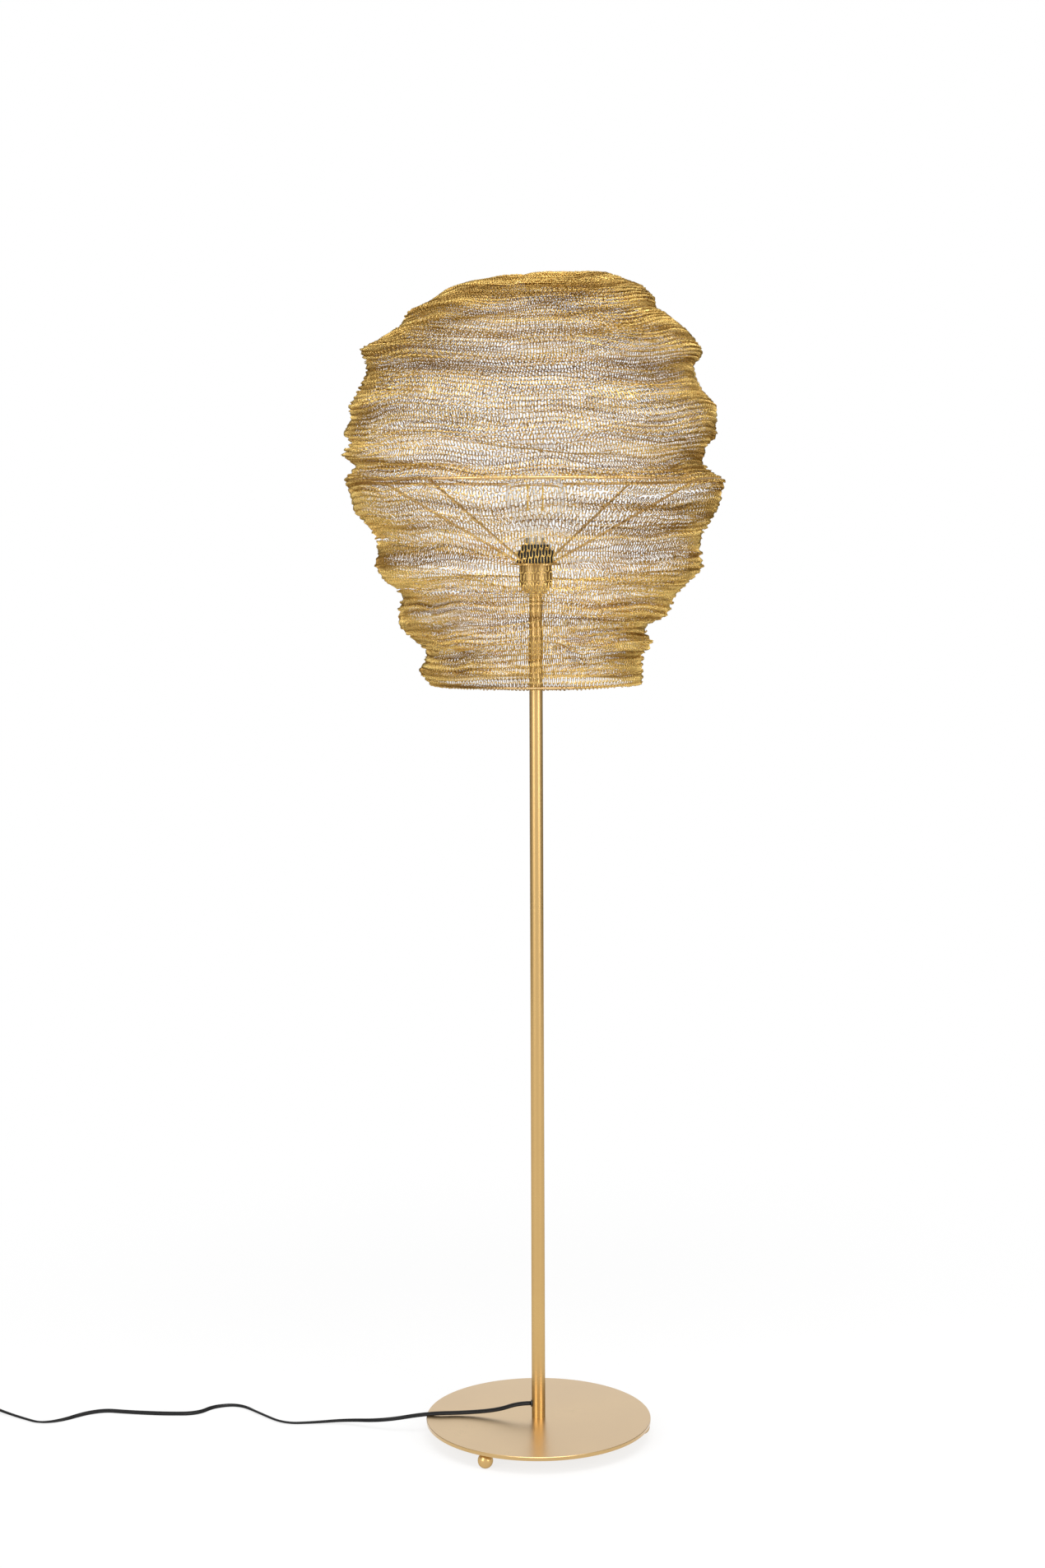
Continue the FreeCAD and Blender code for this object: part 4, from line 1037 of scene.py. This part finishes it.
def wireFromPaths(name, rows, tones, tree, radius, sides, finish):
    # rows of points, each a closed path. The tones say how light the wire is painted at each point:
    # painted light and shade from the folds, with random streaks
    group, radiusSocket, sidesSocket, finishSocket = tree
    mesh = bpy.data.meshes.new(name + "_paths")
    points = rows.reshape(-1, 3)
    size = rows.shape[1]
    first = np.arange(len(points))
    second = first + 1
    second[size - 1::size] -= size  # each row's last point joins its first
    mesh.vertices.add(len(points))
    mesh.vertices.foreach_set("co", points.ravel())
    mesh.edges.add(len(points))
    mesh.edges.foreach_set("vertices", np.stack([first, second], axis=1).ravel())
    mesh.attributes.new("polish", "FLOAT", "POINT").data.foreach_set("value", tones.ravel())
    holder = bpy.data.objects.new(name, mesh)
    bpy.context.scene.collection.objects.link(holder)
    modifier = holder.modifiers.new("strands", "NODES")
    modifier.node_group = group
    modifier[radiusSocket] = radius
    modifier[sidesSocket] = sides
    modifier[finishSocket] = materials[finish]
    holder.update_tag()
    depsgraph = bpy.context.evaluated_depsgraph_get()
    solid = bpy.data.meshes.new_from_object(holder.evaluated_get(depsgraph))
    holder.modifiers.remove(modifier)
    holder.data = solid
    bpy.data.meshes.remove(mesh)
    return holder


def makeShade():
    points, tones = knitPoints()
    tree = strandTree()
    step = knit["coursesPerPiece"]
    for k, start in enumerate(range(0, knit["courses"], step)):
        piece = wireFromPaths(
            f"knit_{k + 1}", points[start:start + step], tones[start:start + step], tree,
            knit["strand"], knit["sides"], "wire_gold",
        )
        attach(piece, "shade")
        print(piece.name, len(piece.data.polygons), "faces")
    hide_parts("mesh_shade")


makeShade()
print("shade knitted")


# studio


def whiteShare(graph, plain):
    # plain white where the camera, a mirroring surface or glass looks, and real light for the rest
    looks = [
        graph.add("ShaderNodeLightPath", output=f"Is {ray} Ray")
        for ray in ("Camera", "Glossy", "Transmission")
    ]
    seen = graph.maths("MAXIMUM", graph.maths("MAXIMUM", looks[0], looks[1]), looks[2])
    return seen * plain


def floorFinish(graph):
    away = graph.add("ShaderNodeVectorMath", {"operation": "LENGTH"}, {0: graph.place()}, output="Value")
    plain = graph.add(
        "ShaderNodeMapRange", {"clamp": True, "interpolation_type": "SMOOTHSTEP"},
        {
            "Value": away, "From Min": studio["whiteFrom"], "From Max": studio["whiteBy"],
            "To Min": studio["floorWhite"], "To Max": 1.0,
        },
    )
    share = whiteShare(graph, plain)
    matt = graph.add("ShaderNodeBsdfDiffuse", {}, {"Color": (studio["floorGrey"],) * 3})
    glow = graph.add("ShaderNodeEmission", {}, {"Color": (1, 1, 1), "Strength": 1.0})
    return graph.add("ShaderNodeMixShader", {}, {0: share, 1: matt, 2: glow})


def makeFloor():
    half = studio["floorSize"] / 2
    corners = [(-half, -half, 0), (half, -half, 0), (half, half, 0), (-half, half, 0)]
    floor = addMesh("floor", corners, [(0, 1, 2, 3)])
    floor.data.materials.append(makeFinish("floor_white", floorFinish))


def makeSky():
    world = bpy.data.worlds.new("studio")
    world.use_nodes = True
    graph = Graph(world.node_tree)
    share = whiteShare(graph, 1.0)
    light = studio["skyLight"] + (1 - studio["skyLight"]) * share
    sky = graph.add("ShaderNodeBackground", {}, {"Color": (1, 1, 1), "Strength": light})
    graph.add("ShaderNodeOutputWorld", {}, {"Surface": sky})
    bpy.context.scene.world = world


def makeLamps():
    for name, lamp in studio["lamps"].items():
        data = bpy.data.lights.new(name, "AREA")
        data.shape = "RECTANGLE"
        data.size, data.size_y = lamp["size"]
        data.energy = lamp["power"]
        made = bpy.data.objects.new(name, data)
        made.location = lamp["place"]
        way = Vector(lamp["aim"]) - Vector(lamp["place"])
        made.rotation_euler = way.to_track_quat("-Z", "Y").to_euler()
        bpy.context.scene.collection.objects.link(made)


def makeFlags():
    # dark cards beside the view, which the camera doesn't see, give the metal its darker edges
    for name, flag in studio["flags"].items():
        near, far = flag["depth"]
        x, low, top, grey = flag["x"], flag["low"], flag["top"], (flag["grey"],) * 3
        corners = [(x, near, low), (x, far, low), (x, far, top), (x, near, top)]
        card = addMesh(name, corners, [(0, 1, 2, 3)])
        card.data.materials.append(makeFinish(
            name + "_grey", lambda graph: graph.add("ShaderNodeBsdfDiffuse", {}, {"Color": grey}),
        ))
        card.visible_camera = False
        card.visible_shadow = False
        card.visible_diffuse = False
        card.visible_transmission = False


makeFloor()
makeSky()
makeLamps()
makeFlags()
print("studio lit")
